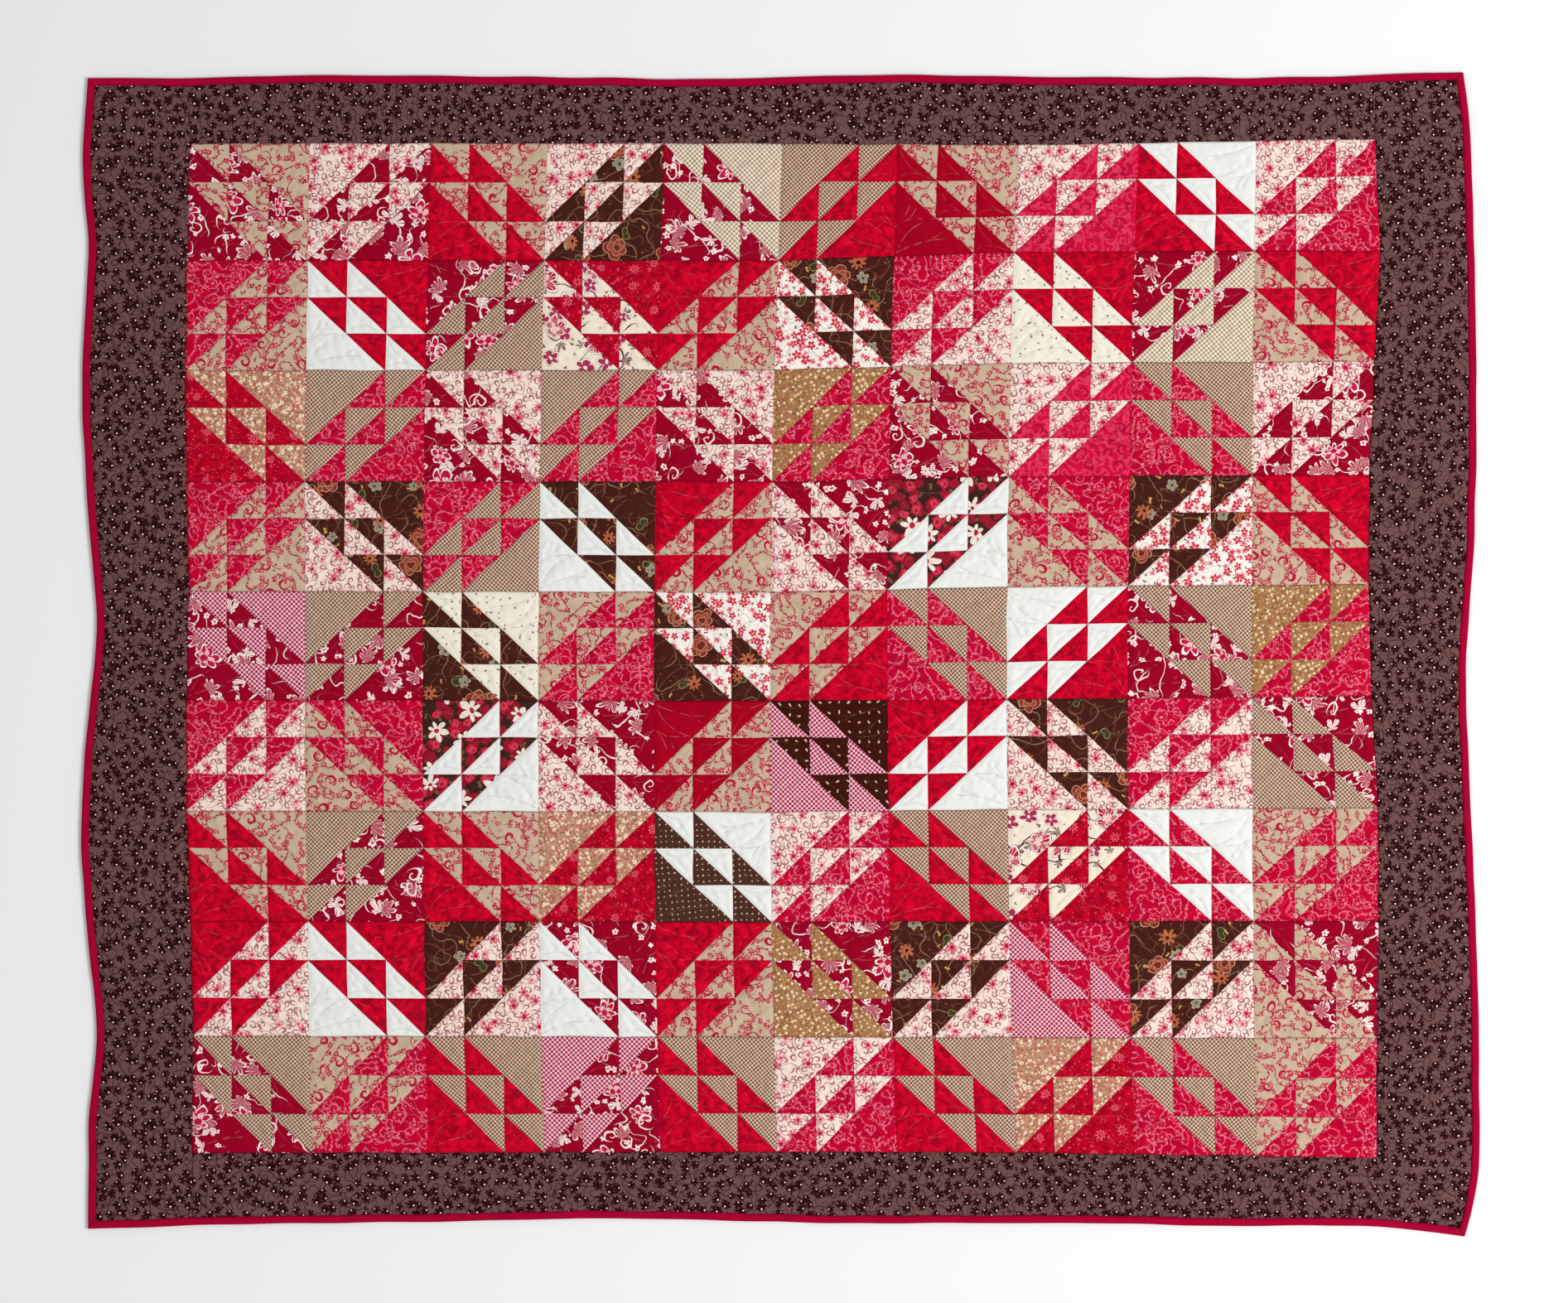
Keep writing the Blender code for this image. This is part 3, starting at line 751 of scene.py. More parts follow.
class Effects:
    """Shader effects that several cloths share, each a node group that is built once.

    All distances are in millimetres, and an Inside socket is the distance inside a motif's edge.
    """

    def __init__(self) -> None:
        """Build every group."""
        self.places = self.make_places()
        self.bloom = self.make_bloom()
        self.curl = self.make_curl()
        self.vine = self.make_vine()
        self.check = self.make_check()
        self.drawn = self.make_drawn()
        self.ground = self.make_ground()
        self.weave = self.make_weave()
        self.arc = self.make_arc()
        self.stitching = self.make_stitching()

    @staticmethod
    def begin(name: str, inputs: tuple, outputs: tuple) -> tuple[Bench, dict, dict]:
        """Empty group with its named sockets.

        Args:
            name: the group's name.
            inputs: (socket name, socket type) pairs.
            outputs: (socket name, socket type) pairs.

        Returns:
            A bench on the group, its inputs by name, and its output sockets by name.
        """
        tree = bpy.data.node_groups.new(name, "ShaderNodeTree")
        for way, sockets in (("INPUT", inputs), ("OUTPUT", outputs)):
            for label, kind in sockets:
                tree.interface.new_socket(name=label, in_out=way, socket_type=kind)
        bench = Bench(tree)
        entry = bench.add("NodeGroupInput")
        leaving = bench.add("NodeGroupOutput")
        return bench, dict(entry.outputs.items()), dict(leaving.inputs.items())

    def make_places(self) -> bpy.types.NodeTree:
        """Scatter of places: each point's offset from the nearest place, and two chances for it.

        A seed shifts the lattice that the places are scattered from, in cells, and turns it.

        Returns:
            The node group.
        """
        bench, entry, leaving = self.begin(
            "Motif places",
            (("Place", VECTOR), ("Pitch", FLOAT), ("Scatter", FLOAT), ("Seed", FLOAT)),
            (("Offset", VECTOR), ("Centre", VECTOR), ("Chance", FLOAT), ("Turn", FLOAT)),
        )
        shift_across, shift_up, seed_turn, first_turn = 7.31, 3.77, 1.3, 0.5
        pitch, seed = entry["Pitch"], entry["Seed"]
        shift = bench.point(bench.product(seed, shift_across), bench.product(seed, shift_up))
        angle = bench.maths("MULTIPLY_ADD", seed, seed_turn, first_turn)
        lattice = bench.turned(bench.shrunk(entry["Place"], pitch), angle)
        lattice = bench.vector("ADD", lattice, shift)
        cells = bench.cells(lattice, entry["Scatter"]).outputs
        middle = bench.vector("SUBTRACT", cells["Position"], shift)
        middle = bench.turned(middle, bench.product(angle, -1.0))
        chances = bench.add("ShaderNodeSeparateColor", cells["Color"]).outputs
        bench.fill(
            leaving,
            Offset=bench.scaled(bench.vector("SUBTRACT", lattice, cells["Position"]), pitch),
            Centre=bench.scaled(middle, pitch), Chance=chances[0], Turn=chances[1],
        )
        return bench.tree

    def make_bloom(self) -> bpy.types.NodeTree:
        """Flower, leaf or dot, whose edge lies out as radius x (1 - notch (1 - |sin(n a / 2)|^point)).

        The chance that turns a flower also sizes it. A lopsided one shrinks on one side, as its
        radius is also multiplied by 1 - lopsided (1 - cos a) / 2. Veins are the crests of a finer wave.

        Returns:
            The node group.
        """
        bench, entry, leaving = self.begin(
            "Bloom",
            (("Offset", VECTOR), ("Turn", FLOAT), ("Petals", FLOAT), ("Radius", FLOAT),
             ("Notch", FLOAT), ("Point", FLOAT), ("Lopsided", FLOAT), ("Heart", FLOAT)),
            (("Inside", FLOAT), ("Heart inside", FLOAT), ("Veins", FLOAT)),
        )
        smallest, size_range = 0.82, 0.35
        finer, vein_level = 4.0, 0.8
        far, angle = bench.polar(entry["Offset"], entry["Turn"])
        half = bench.product(entry["Petals"], 0.5, angle)
        lobe = bench.maths("POWER", bench.maths("ABSOLUTE", bench.maths("SINE", half)), entry["Point"])
        cut = bench.product(bench.maths("SUBTRACT", 1.0, lobe), entry["Notch"])
        size = bench.maths("MULTIPLY_ADD", entry["Turn"], size_range, smallest)
        radius = bench.product(entry["Radius"], size)
        lean = bench.maths("MULTIPLY_ADD", bench.maths("COSINE", angle), 0.5, -0.5)
        lean = bench.maths("MULTIPLY_ADD", lean, entry["Lopsided"], 1.0)
        reach = bench.product(radius, lean, bench.maths("SUBTRACT", 1.0, cut))
        wave = bench.maths("ABSOLUTE", bench.maths("SINE", bench.product(half, finer)))
        bench.fill(
            leaving,
            Inside=bench.maths("SUBTRACT", reach, far),
            Heart_inside=bench.maths("SUBTRACT", bench.product(radius, entry["Heart"]), far),
            Veins=bench.maths("SUBTRACT", wave, vein_level),
        )
        return bench.tree

    def make_curl(self) -> bpy.types.NodeTree:
        """Curled tendril: a spiral line, whose distance out grows with the angle, thinner inwards.

        Returns:
            The node group.
        """
        bench, entry, leaving = self.begin(
            "Curl",
            (("Offset", VECTOR), ("Turn", FLOAT), ("Radius", FLOAT), ("Turns", FLOAT),
             ("Thickness", FLOAT)),
            (("Inside", FLOAT),),
        )
        thinnest, thickening = 0.15, 0.42
        radius = entry["Radius"]
        far, angle = bench.polar(entry["Offset"], entry["Turn"])
        step = bench.maths("DIVIDE", radius, entry["Turns"])
        phase = bench.maths("SUBTRACT", bench.maths("DIVIDE", far, step),
                            bench.maths("DIVIDE", angle, 2 * np.pi))
        off = bench.maths("ABSOLUTE", bench.maths("SUBTRACT", bench.maths("FRACT", phase), 0.5))
        taper = bench.maths("MULTIPLY_ADD", bench.maths("DIVIDE", far, radius), thickening, thinnest)
        line = bench.maths("SUBTRACT", bench.product(entry["Thickness"], taper),
                           bench.product(off, step))
        within = bench.maths("SUBTRACT", radius, far)
        bench.fill(leaving, Inside=bench.maths("MINIMUM", line, within))
        return bench.tree

    def make_vine(self) -> bpy.types.NodeTree:
        """Wandering stems, where a smooth noise passes its middle value, with small leaves on them.

        The noise divided by its slope, read from two places a step aside, is the distance from a
        stem. A broader noise breaks the stems. Leaves are slim cells that lie near a stem.

        Returns:
            The node group.
        """
        bench, entry, leaving = self.begin(
            "Vine",
            (("Place", VECTOR), ("Pitch", FLOAT), ("Thickness", FLOAT), ("Leaf", FLOAT),
             ("Share", FLOAT), ("Seed", FLOAT)),
            (("Inside", FLOAT),),
        )
        stems_a_pitch, breaks_a_pitch, seed_shift = 2.0, 1.6, 5.17
        step, least_slope = 0.06, 0.22
        break_contrast, break_lift, break_level, faint = 5.0, 3.2, -3.6, 0.04
        leaf_spread, leaf_shape, leaf_scatter, leaf_reach = 3.4, (1.25, 0.62, 1.0), 0.85, 1.9
        place, pitch, leaf = entry["Place"], entry["Pitch"], entry["Leaf"]
        spot = bench.vector("ADD", bench.shrunk(place, pitch, stems_a_pitch),
                            bench.point(bench.product(entry["Seed"], seed_shift)))
        here, across, up = (
            bench.noise(bench.vector("ADD", spot, aside), centred=True).outputs[0]
            for aside in ((0.0, 0.0, 0.0), (step, 0.0, 0.0), (0.0, step, 0.0))
        )
        across, up = (bench.maths("SUBTRACT", aside, here) for aside in (across, up))
        slope = bench.maths("MULTIPLY_ADD", across, across, bench.product(up, up))
        slope = bench.maths("DIVIDE", bench.maths("SQRT", slope), step)
        slope = bench.maths("MAXIMUM", slope, least_slope)
        off = bench.maths("DIVIDE", bench.maths("ABSOLUTE", here), slope)
        off = bench.product(off, pitch, 1 / stems_a_pitch)
        breaks = bench.noise(bench.shrunk(place, pitch, breaks_a_pitch)).outputs[0]
        lift = bench.maths("MULTIPLY_ADD", entry["Share"], break_lift, break_level)
        shown = bench.maths("MULTIPLY_ADD", breaks, break_contrast, lift, clamp=True)
        off = bench.maths("ADD", off, bench.maths("LESS_THAN", shown, faint))
        stem = bench.maths("SUBTRACT", bench.product(entry["Thickness"], 0.5, shown), off)
        spread = bench.maths("MULTIPLY_ADD", leaf, leaf_spread, 0.5)
        slim = bench.shrunk(bench.vector("MULTIPLY", place, leaf_shape), spread)
        gone = bench.product(bench.cells(slim, leaf_scatter).outputs["Distance"], spread)
        near = bench.maths("SUBTRACT", bench.product(leaf, leaf_reach), off)
        leaves = bench.maths("MINIMUM", bench.maths("SUBTRACT", leaf, gone), near)
        bench.fill(leaving, Inside=bench.maths("MAXIMUM", stem, leaves))
        return bench.tree

    def make_check(self) -> bpy.types.NodeTree:
        """Small woven check: rounded squares where two waves, across and up, agree.

        Returns:
            The node group.
        """
        bench, entry, leaving = self.begin(
            "Check", (("Place", VECTOR), ("Pitch", FLOAT), ("Fill", FLOAT)), (("Mask", FLOAT),)
        )
        crispness = 2.2
        rate = bench.maths("DIVIDE", np.pi, entry["Pitch"])
        waves = [bench.maths("SINE", bench.product(way, rate)) for way in bench.split(entry["Place"])]
        mask = bench.maths("MULTIPLY_ADD", bench.product(*waves), crispness, entry["Fill"], clamp=True)
        bench.fill(leaving, Mask=mask)
        return bench.tree

    def make_drawn(self) -> bpy.types.NodeTree:
        """Coordinates as if drawn by hand: pushed a few millimetres to and fro by a smooth noise.

        Returns:
            The node group.
        """
        bench, entry, leaving = self.begin(
            "Hand drawn", (("Place", VECTOR), ("Push", FLOAT)), (("Place", VECTOR),)
        )
        pushes_a_mm = 0.055
        noise = bench.noise(entry["Place"], detail=1.0, scale=pushes_a_mm).outputs["Color"]
        push = bench.scaled(bench.vector("SUBTRACT", noise, (0.5, 0.5, 0.5)), entry["Push"])
        bench.fill(leaving, Place=bench.vector("ADD", entry["Place"], push))
        return bench.tree

    def make_ground(self) -> bpy.types.NodeTree:
        """Dyed ground: a colour clouded with a second one.

        Returns:
            The node group.
        """
        bench, entry, leaving = self.begin(
            "Dyed ground",
            (("Place", VECTOR), ("Colour", COLOUR), ("Cloud", COLOUR), ("Amount", FLOAT),
             ("Scale", FLOAT)),
            (("Colour", COLOUR),),
        )
        contrast, level = 3.2, -1.1
        noise = bench.noise(bench.shrunk(entry["Place"], entry["Scale"]), detail=3.0, distortion=0.7)
        cloud = bench.maths("MULTIPLY_ADD", noise.outputs[0], contrast, level, clamp=True)
        cloud = bench.product(cloud, entry["Amount"])
        bench.fill(leaving, Colour=bench.mix(cloud, entry["Colour"], entry["Cloud"]))
        return bench.tree

    def make_weave(self) -> bpy.types.NodeTree:
        """Plain weave: threads cross over and under, with slubs, and shade painted along each seam's
        ditch.

        Returns:
            The node group.
        """
        bench, entry, leaving = self.begin(
            "Weave and seam shade",
            (("Place", VECTOR), ("Colour", COLOUR), ("Seam distance", FLOAT)),
            (("Colour", COLOUR), ("Height", FLOAT), ("Roughness", FLOAT)),
        )
        thread_pitch, lump_scale, slub_shape = 0.45, 0.55, (0.5, 1.7, 1.0)
        slub_contrast, slub_level, thread_grain = 0.5, -0.18, 0.05
        # Width in mm and strength of the shade painted along each seam, and strength of the grain
        seam_shade_width, painted_seam_shade, grain_shade = 0.75, 0.55, 0.6
        lump_height, weft_height = 0.8, 0.2
        smoothest, rough_range = 0.74, 0.16
        # Tint of the painted seam shade and of the grain's darker threads
        shade = (0.32, 0.20, 0.19, 1.0)
        place = entry["Place"]
        check = bench.group(self.check, Place=place, Pitch=thread_pitch, Fill=0.5).outputs[0]
        lumps = bench.noise(bench.scaled(place, lump_scale), detail=2.0).outputs[0]
        slub = bench.noise(bench.vector("MULTIPLY", place, slub_shape), detail=1.0).outputs[0]
        slub = bench.maths("MULTIPLY_ADD", slub, slub_contrast, slub_level, clamp=True)
        grain = bench.maths("ADD", bench.product(check, thread_grain), slub)
        # Shade painted along the seam's ditch, gone 0.75 mm from the seam, plus the grain's darker
        # threads
        near = bench.maths("MULTIPLY_ADD", entry["Seam distance"], -1.0, seam_shade_width, clamp=True)
        dark = bench.maths("MULTIPLY_ADD", near, painted_seam_shade, bench.product(grain, grain_shade))
        bench.fill(
            leaving,
            Colour=bench.mix(dark, entry["Colour"], shade, "MULTIPLY"),
            Height=bench.maths("MULTIPLY_ADD", lumps, lump_height, bench.product(check, weft_height)),
            Roughness=bench.maths("MULTIPLY_ADD", lumps, rough_range, smoothest),
        )
        return bench.tree

    def make_arc(self) -> bpy.types.NodeTree:
        """Distance from a stitched line that follows a round arc, in legs, as Arc.distance has it.

        Returns:
            The node group.
        """
        bench, entry, leaving = self.begin(
            "Stitched arc",
            (("Patch", VECTOR), ("Middle", VECTOR), ("Radius", FLOAT), ("Start", VECTOR),
             ("Chord", VECTOR)),
            (("Off", FLOAT),),
        )
        far = bench.vector("LENGTH", bench.vector("SUBTRACT", entry["Patch"], entry["Middle"]))
        off = bench.maths("ABSOLUTE", bench.maths("SUBTRACT", far, entry["Radius"]))
        gone = bench.vector("SUBTRACT", entry["Patch"], entry["Start"])
        along = bench.vector("DOT_PRODUCT", gone, entry["Chord"])
        past = bench.maths("ABSOLUTE", bench.maths("SUBTRACT", along, 0.5))
        past = bench.maths("MAXIMUM", bench.maths("SUBTRACT", past, 0.5), 0.0)
        bench.fill(leaving, Off=bench.maths("ADD", off, past))
        return bench.tree

    def nearest_arc(self, bench: Bench, patch: Link, arcs: tuple[Arc, ...]) -> Socket:
        """Distance to the nearest of several arcs.

        Args:
            bench: bench on the group that wants it.
            patch: the place in the patch, in legs.
            arcs: the arcs.

        Returns:
            The distance, in legs.
        """
        nearest = None
        for arc in arcs:
            centre, radius = arc.circle()
            off = bench.group(
                self.arc, Patch=patch, Middle=(*centre, 0.0), Radius=radius,
                Start=(*arc.start, 0.0), Chord=(*arc.chord(), 0.0),
            ).outputs[0]
            nearest = off if nearest is None else bench.maths("MINIMUM", nearest, off)
        return nearest

    def make_stitching(self) -> bpy.types.NodeTree:
        """Stitched lines over a colour, with painted groove shade: on the fans and the small arcs.

        Round each line a soft shade is painted into the colour, over about 2 mm, where the groove lies
        in shade. The thread is fainter in places, and on the small patches.

        Returns:
            The node group.
        """
        bench, entry, leaving = self.begin(
            "Quilting thread and groove shade",
            (("Patch", VECTOR), ("Place", VECTOR), ("Colour", COLOUR), ("Thread", COLOUR),
             ("Strength", FLOAT)),
            (("Colour", COLOUR),),
        )
        # Thread and painted groove shade: half widths and softness in mm, and strengths
        thread_half, thread_soft, groove_shade_half, groove_shade_soft = 0.3, 0.45, 0.9, 1.3
        groove_shade_strength, small_faintness = 0.52, 0.6
        patches_a_mm, patch_contrast, patch_level = 0.09, 4.0, -1.5
        # Tint of the painted groove shade
        shade = (0.58, 0.58, 0.60, 1.0)
        patch, strength = entry["Patch"], entry["Strength"]
        small = bench.maths("GREATER_THAN", bench.split(patch)[0], SMALL_FLAG / 2)
        fan = bench.product(self.nearest_arc(bench, bench.scaled(patch, 1 / LARGE_LEG), FAN), LARGE_LEG)
        moved = bench.vector("SUBTRACT", patch, (SMALL_FLAG, 0.0, 0.0))
        arcs = self.nearest_arc(bench, moved, SMALL_ARCS)
        off = bench.maths("MULTIPLY_ADD", bench.maths("SUBTRACT", arcs, fan), small, fan)
        off = bench.product(off, CELL_SIZE)
        noise = bench.noise(entry["Place"], detail=2.0, scale=patches_a_mm).outputs[0]
        shown = bench.maths("MULTIPLY_ADD", noise, patch_contrast, patch_level, clamp=True)
        # Shade painted beside the quilted line, deeper where the thread shows more
        groove = bench.edge(bench.maths("SUBTRACT", groove_shade_half, off), groove_shade_soft)
        depth = bench.maths("MULTIPLY_ADD", shown, 0.5, 0.5)
        groove = bench.product(groove, depth, strength, groove_shade_strength)
        shaded = bench.mix(groove, entry["Colour"], shade, "MULTIPLY")
        fainter = bench.maths("MULTIPLY_ADD", small, -small_faintness, 1.0)
        line = bench.edge(bench.maths("SUBTRACT", thread_half, off), thread_soft)
        line = bench.product(line, bench.product(shown, fainter), strength)
        bench.fill(leaving, Colour=bench.mix(line, shaded, entry["Thread"]))
        return bench.tree


@dataclass(frozen=True)
class Cotton:
    """Surface of washed quilting cotton, the same on every cloth: its threads' relief and its gloss."""

    relief: float = 0.35
    thread_height: float = 0.0004
    sheen: float = 0.01
    sheen_roughness: float = 0.5
    specular: float = 0.03


@dataclass
class ClothShelf:
    """Makes each cloth's material the first time it is wanted."""

    effects: Effects
    cotton: Cotton = Cotton()
    made: dict[str, bpy.types.Material] = field(default_factory=dict)

    def material(self, code: str) -> bpy.types.Material:
        """The material of a cloth, by its code in PRINTS."""
        if code not in self.made:
            self.made[code] = self.dye(PRINTS[code], stitched=code not in UNQUILTED)
        return self.made[code]

    def shape(self, bench: Bench, motif: Motif, place: Link) -> dict[str, Link]:
        """Node sockets of a motif's shape.

        Args:
            bench: bench on the material's tree.
            motif: what to draw.
            place: the print's coordinates, in mm.

        Returns:
            The distance inside the motif's edge and the part of places filled, and for a flower its
            heart and its veins.
        """
        effects = self.effects
        if motif.draw is Draw.VINE:
            vine = bench.group(effects.vine, Place=place, Pitch=motif.pitch, Thickness=motif.thickness,
                               Leaf=motif.leaf, Share=motif.share, Seed=motif.seed)
            return {"inside": vine.outputs[0], "filled": 1.0}
        places = bench.group(effects.places, Place=place, Pitch=motif.pitch,
                             Scatter=motif.scatter, Seed=motif.seed).outputs
        filled = bench.maths("LESS_THAN", places["Chance"], motif.share)
        if motif.along:
            pitch, seed = motif.along
            stems = bench.group(effects.vine, Place=places["Centre"], Pitch=pitch, Share=1.0,
                                Thickness=2 * motif.reach, Leaf=0.0, Seed=seed)
            filled = bench.product(filled, bench.maths("GREATER_THAN", stems.outputs[0], 0.0))
        spot = {"Offset": places["Offset"], "Turn": places["Turn"], "Radius": motif.size}
        if motif.draw is Draw.CURL:
            curl = bench.group(effects.curl, **spot, Turns=motif.turns, Thickness=motif.thickness)
            return {"inside": curl.outputs[0], "filled": filled}
        bloom = bench.group(effects.bloom, **spot, Petals=motif.petals, Notch=motif.notch,
                            Point=motif.point, Lopsided=motif.lopsided,
                            Heart=motif.heart_size).outputs
        return {"inside": bloom["Inside"], "filled": filled, "heart": bloom["Heart inside"],
                "veins": bloom["Veins"]}

    def draw(self, bench: Bench, motif: Motif, place: Link, colour: Link) -> Link:
        """Lay one motif over a colour: its rim, its body, and then its veins and heart.

        Args:
            bench: bench on the material's tree.
            motif: what to draw.
            place: the print's coordinates, in mm.
            colour: what is under the motif.

        Returns:
            The colour with the motif on it.
        """
        if motif.draw is Draw.CHECK:
            mask = bench.group(self.effects.check, Place=place, Pitch=motif.pitch, Fill=motif.thickness)
            return bench.mix(mask.outputs[0], colour, linear(motif.colour))
        vein_contrast = 5.0
        parts = self.shape(bench, motif, place)
        inside, filled = parts["inside"], parts["filled"]
        body = bench.product(bench.edge(inside), filled)
        layers = []
        if motif.rim:
            wide = bench.edge(bench.maths("ADD", inside, motif.rim_width))
            layers.append((bench.product(wide, filled), motif.rim))
        layers.append((body, motif.colour))
        if motif.vein:
            veins = bench.maths("MULTIPLY", parts["veins"], vein_contrast, clamp=True)
            layers.append((bench.product(veins, body), motif.vein))
        if motif.heart:
            layers.append((bench.product(bench.edge(parts["heart"]), filled), motif.heart))
        for mask, paint in layers:
            colour = bench.mix(mask, colour, linear(paint))
        return colour

    def dye(self, cloth: Print, stitched: bool) -> bpy.types.Material:
        """Material of a cloth: ground, motifs, quilting thread and weave on a soft matt shader.

        Args:
            cloth: its dyes and motifs.
            stitched: whether quilted lines are drawn on it.

        Returns:
            The material.
        """
        material = bpy.data.materials.new(cloth.name)
        material.use_nodes = True
        bench = Bench(material.node_tree)
        effects = self.effects
        shader = material.node_tree.nodes["Principled BSDF"].inputs
        place = bench.scaled(bench.add("ShaderNodeUVMap", uv_map="print").outputs[0], 1 / MM)
        drawn = bench.group(effects.drawn, Place=place, Push=cloth.push).outputs[0]
        colour = bench.group(effects.ground, Place=place, Colour=linear(cloth.ground),
                             Cloud=linear(cloth.mottle_to or cloth.ground), Amount=cloth.mottle,
                             Scale=cloth.mottle_scale).outputs[0]
        for motif in cloth.motifs:
            colour = self.draw(bench, motif, place if motif.draw is Draw.CHECK else drawn, colour)
        # Quilting thread, with shade painted beside each quilted line
        if stitched:
            patch = bench.add("ShaderNodeUVMap", uv_map="patch").outputs[0]
            colour = bench.group(effects.stitching, Patch=patch, Place=place, Colour=colour,
                                 Thread=linear(cloth.thread),
                                 Strength=cloth.thread_strength).outputs[0]
        # Seam distance, by which the weave paints shade along the seams
        seam = bench.add("ShaderNodeAttribute", attribute_name="seam").outputs["Fac"]
        weave = bench.group(effects.weave, Place=place, Colour=colour, Seam_distance=seam).outputs
        bump = bench.add("ShaderNodeBump")
        bench.fill(bump.inputs, Strength=self.cotton.relief, Distance=self.cotton.thread_height,
                   Height=weave["Height"])
        bench.fill(
            shader, Base_Color=weave["Colour"], Roughness=weave["Roughness"], Normal=bump.outputs[0],
            Sheen_Weight=self.cotton.sheen, Sheen_Roughness=self.cotton.sheen_roughness,
            Specular_IOR_Level=self.cotton.specular,
        )
        return material


@dataclass
class Skin:
    """Surface of a piece while it is worked out: points, faces, coordinates and cloths."""

    points: list[np.ndarray] = field(default_factory=list)
    seam: list[np.ndarray] = field(default_factory=list)
    corners: list[np.ndarray] = field(default_factory=list)
    sizes: list[np.ndarray] = field(default_factory=list)
    cloths: list[np.ndarray] = field(default_factory=list)
    print_places: list[np.ndarray] = field(default_factory=list)
    patch_places: list[np.ndarray] = field(default_factory=list)
    soft: list[np.ndarray] = field(default_factory=list)

    def add_points(self, points: np.ndarray, seam: np.ndarray) -> int:
        """Add points.

        Args:
            points: x, y and z of each in mm.
            seam: distance of each from a seam in mm, by which the material paints shade along seams.

        Returns:
            The first one's number.
        """
        first = sum(len(part) for part in self.points)
        self.points.append(points)
        self.seam.append(seam)
        return first

    def add_faces(self, faces: np.ndarray, cloth: np.ndarray | int, soft: bool,
                  print_place: np.ndarray | None = None, patch_place: np.ndarray | None = None) -> None:
        """Add faces that all have the same number of corners.

        Args:
            faces: point numbers, one row a face, turned anticlockwise from outside.
            cloth: material number of each face, or one for all.
            soft: whether the faces are shaded smooth.
            print_place: print coordinates in metres of each corner.
            patch_place: patch coordinates of each corner.
        """
        count, corners = faces.shape
        self.corners.append(faces.ravel())
        self.sizes.append(np.full(count, corners))
        self.cloths.append(np.broadcast_to(cloth, count))
        self.soft.append(np.full(count, soft))
        empty = np.zeros((count * corners, 2))
        flat = np.concatenate(self.points)[faces.ravel(), :2] * MM
        self.print_places.append(flat if print_place is None else print_place)
        self.patch_places.append(empty if patch_place is None else patch_place)

    def make(self, name: str, materials: list[bpy.types.Material]) -> bpy.types.Object:
        """Turn the surface into an object at the origin, in metres.

        Args:
            name: the piece's name.
            materials: its materials, in the order of the cloth numbers.

        Returns:
            The object.
        """
        points = np.concatenate(self.points) * MM
        corners = np.concatenate(self.corners)
        sizes = np.concatenate(self.sizes)
        mesh = bpy.data.meshes.new(name)
        mesh.vertices.add(len(points))
        mesh.vertices.foreach_set("co", points.ravel())
        mesh.loops.add(len(corners))
        mesh.loops.foreach_set("vertex_index", corners)
        mesh.polygons.add(len(sizes))
        mesh.polygons.foreach_set("loop_start", np.cumsum(sizes) - sizes)
        mesh.polygons.foreach_set("material_index", np.concatenate(self.cloths))
        mesh.polygons.foreach_set("use_smooth", np.concatenate(self.soft))
        for label, parts in (("print", self.print_places), ("patch", self.patch_places)):
            layer = mesh.uv_layers.new(name=label)
            layer.data.foreach_set("uv", np.concatenate(parts).ravel())
        seam = mesh.attributes.new("seam", "FLOAT", "POINT")
        seam.data.foreach_set("value", np.concatenate(self.seam))
        for material in materials:
            mesh.materials.append(material)
        mesh.update(calc_edges=True)
        mesh.validate()
        piece = bpy.data.objects.new(name, mesh)
        bpy.context.scene.collection.objects.link(piece)
        return piece

    def close_under(self, rows: int, columns: int, cloth: int) -> None:
        """Close a grid of points, the first ones added, with walls down to the floor and a flat base.

        Args:
            rows: points up the grid, the first row at the quilt's top.
            columns: points across it.
            cloth: material number of the base.
        """
        grid = np.arange(rows * columns).reshape(rows, columns)
        rim = np.concatenate([grid[0, :-1], grid[:-1, -1], grid[-1, :0:-1], grid[:0:-1, 0]])
        upper = np.concatenate(self.points)[rim]
        first = self.add_points(upper * (1, 1, 0), np.full(len(rim), FAR_FROM_SEAM))
        low = first + np.arange(len(rim))
        walls = np.stack([rim, np.roll(rim, -1), np.roll(low, -1), low], axis=1)
        self.add_faces(walls, 0, False)
        self.add_faces(low[None, :], cloth, False)


def block_cloths(row: int) -> list[tuple[str, str]]:
    """Upper and lower cloth of each block of a row: the dark one is below in even rows.

    Args:
        row: the row, from 0 at the top.

    Returns:
        A pair of codes for each block, left to right.
    """
    pairs = [pair.split("/") for pair in BLOCK_CLOTHS[row].split()]
    return [(light, dark) if row % 2 == 0 else (dark, light) for light, dark in pairs]


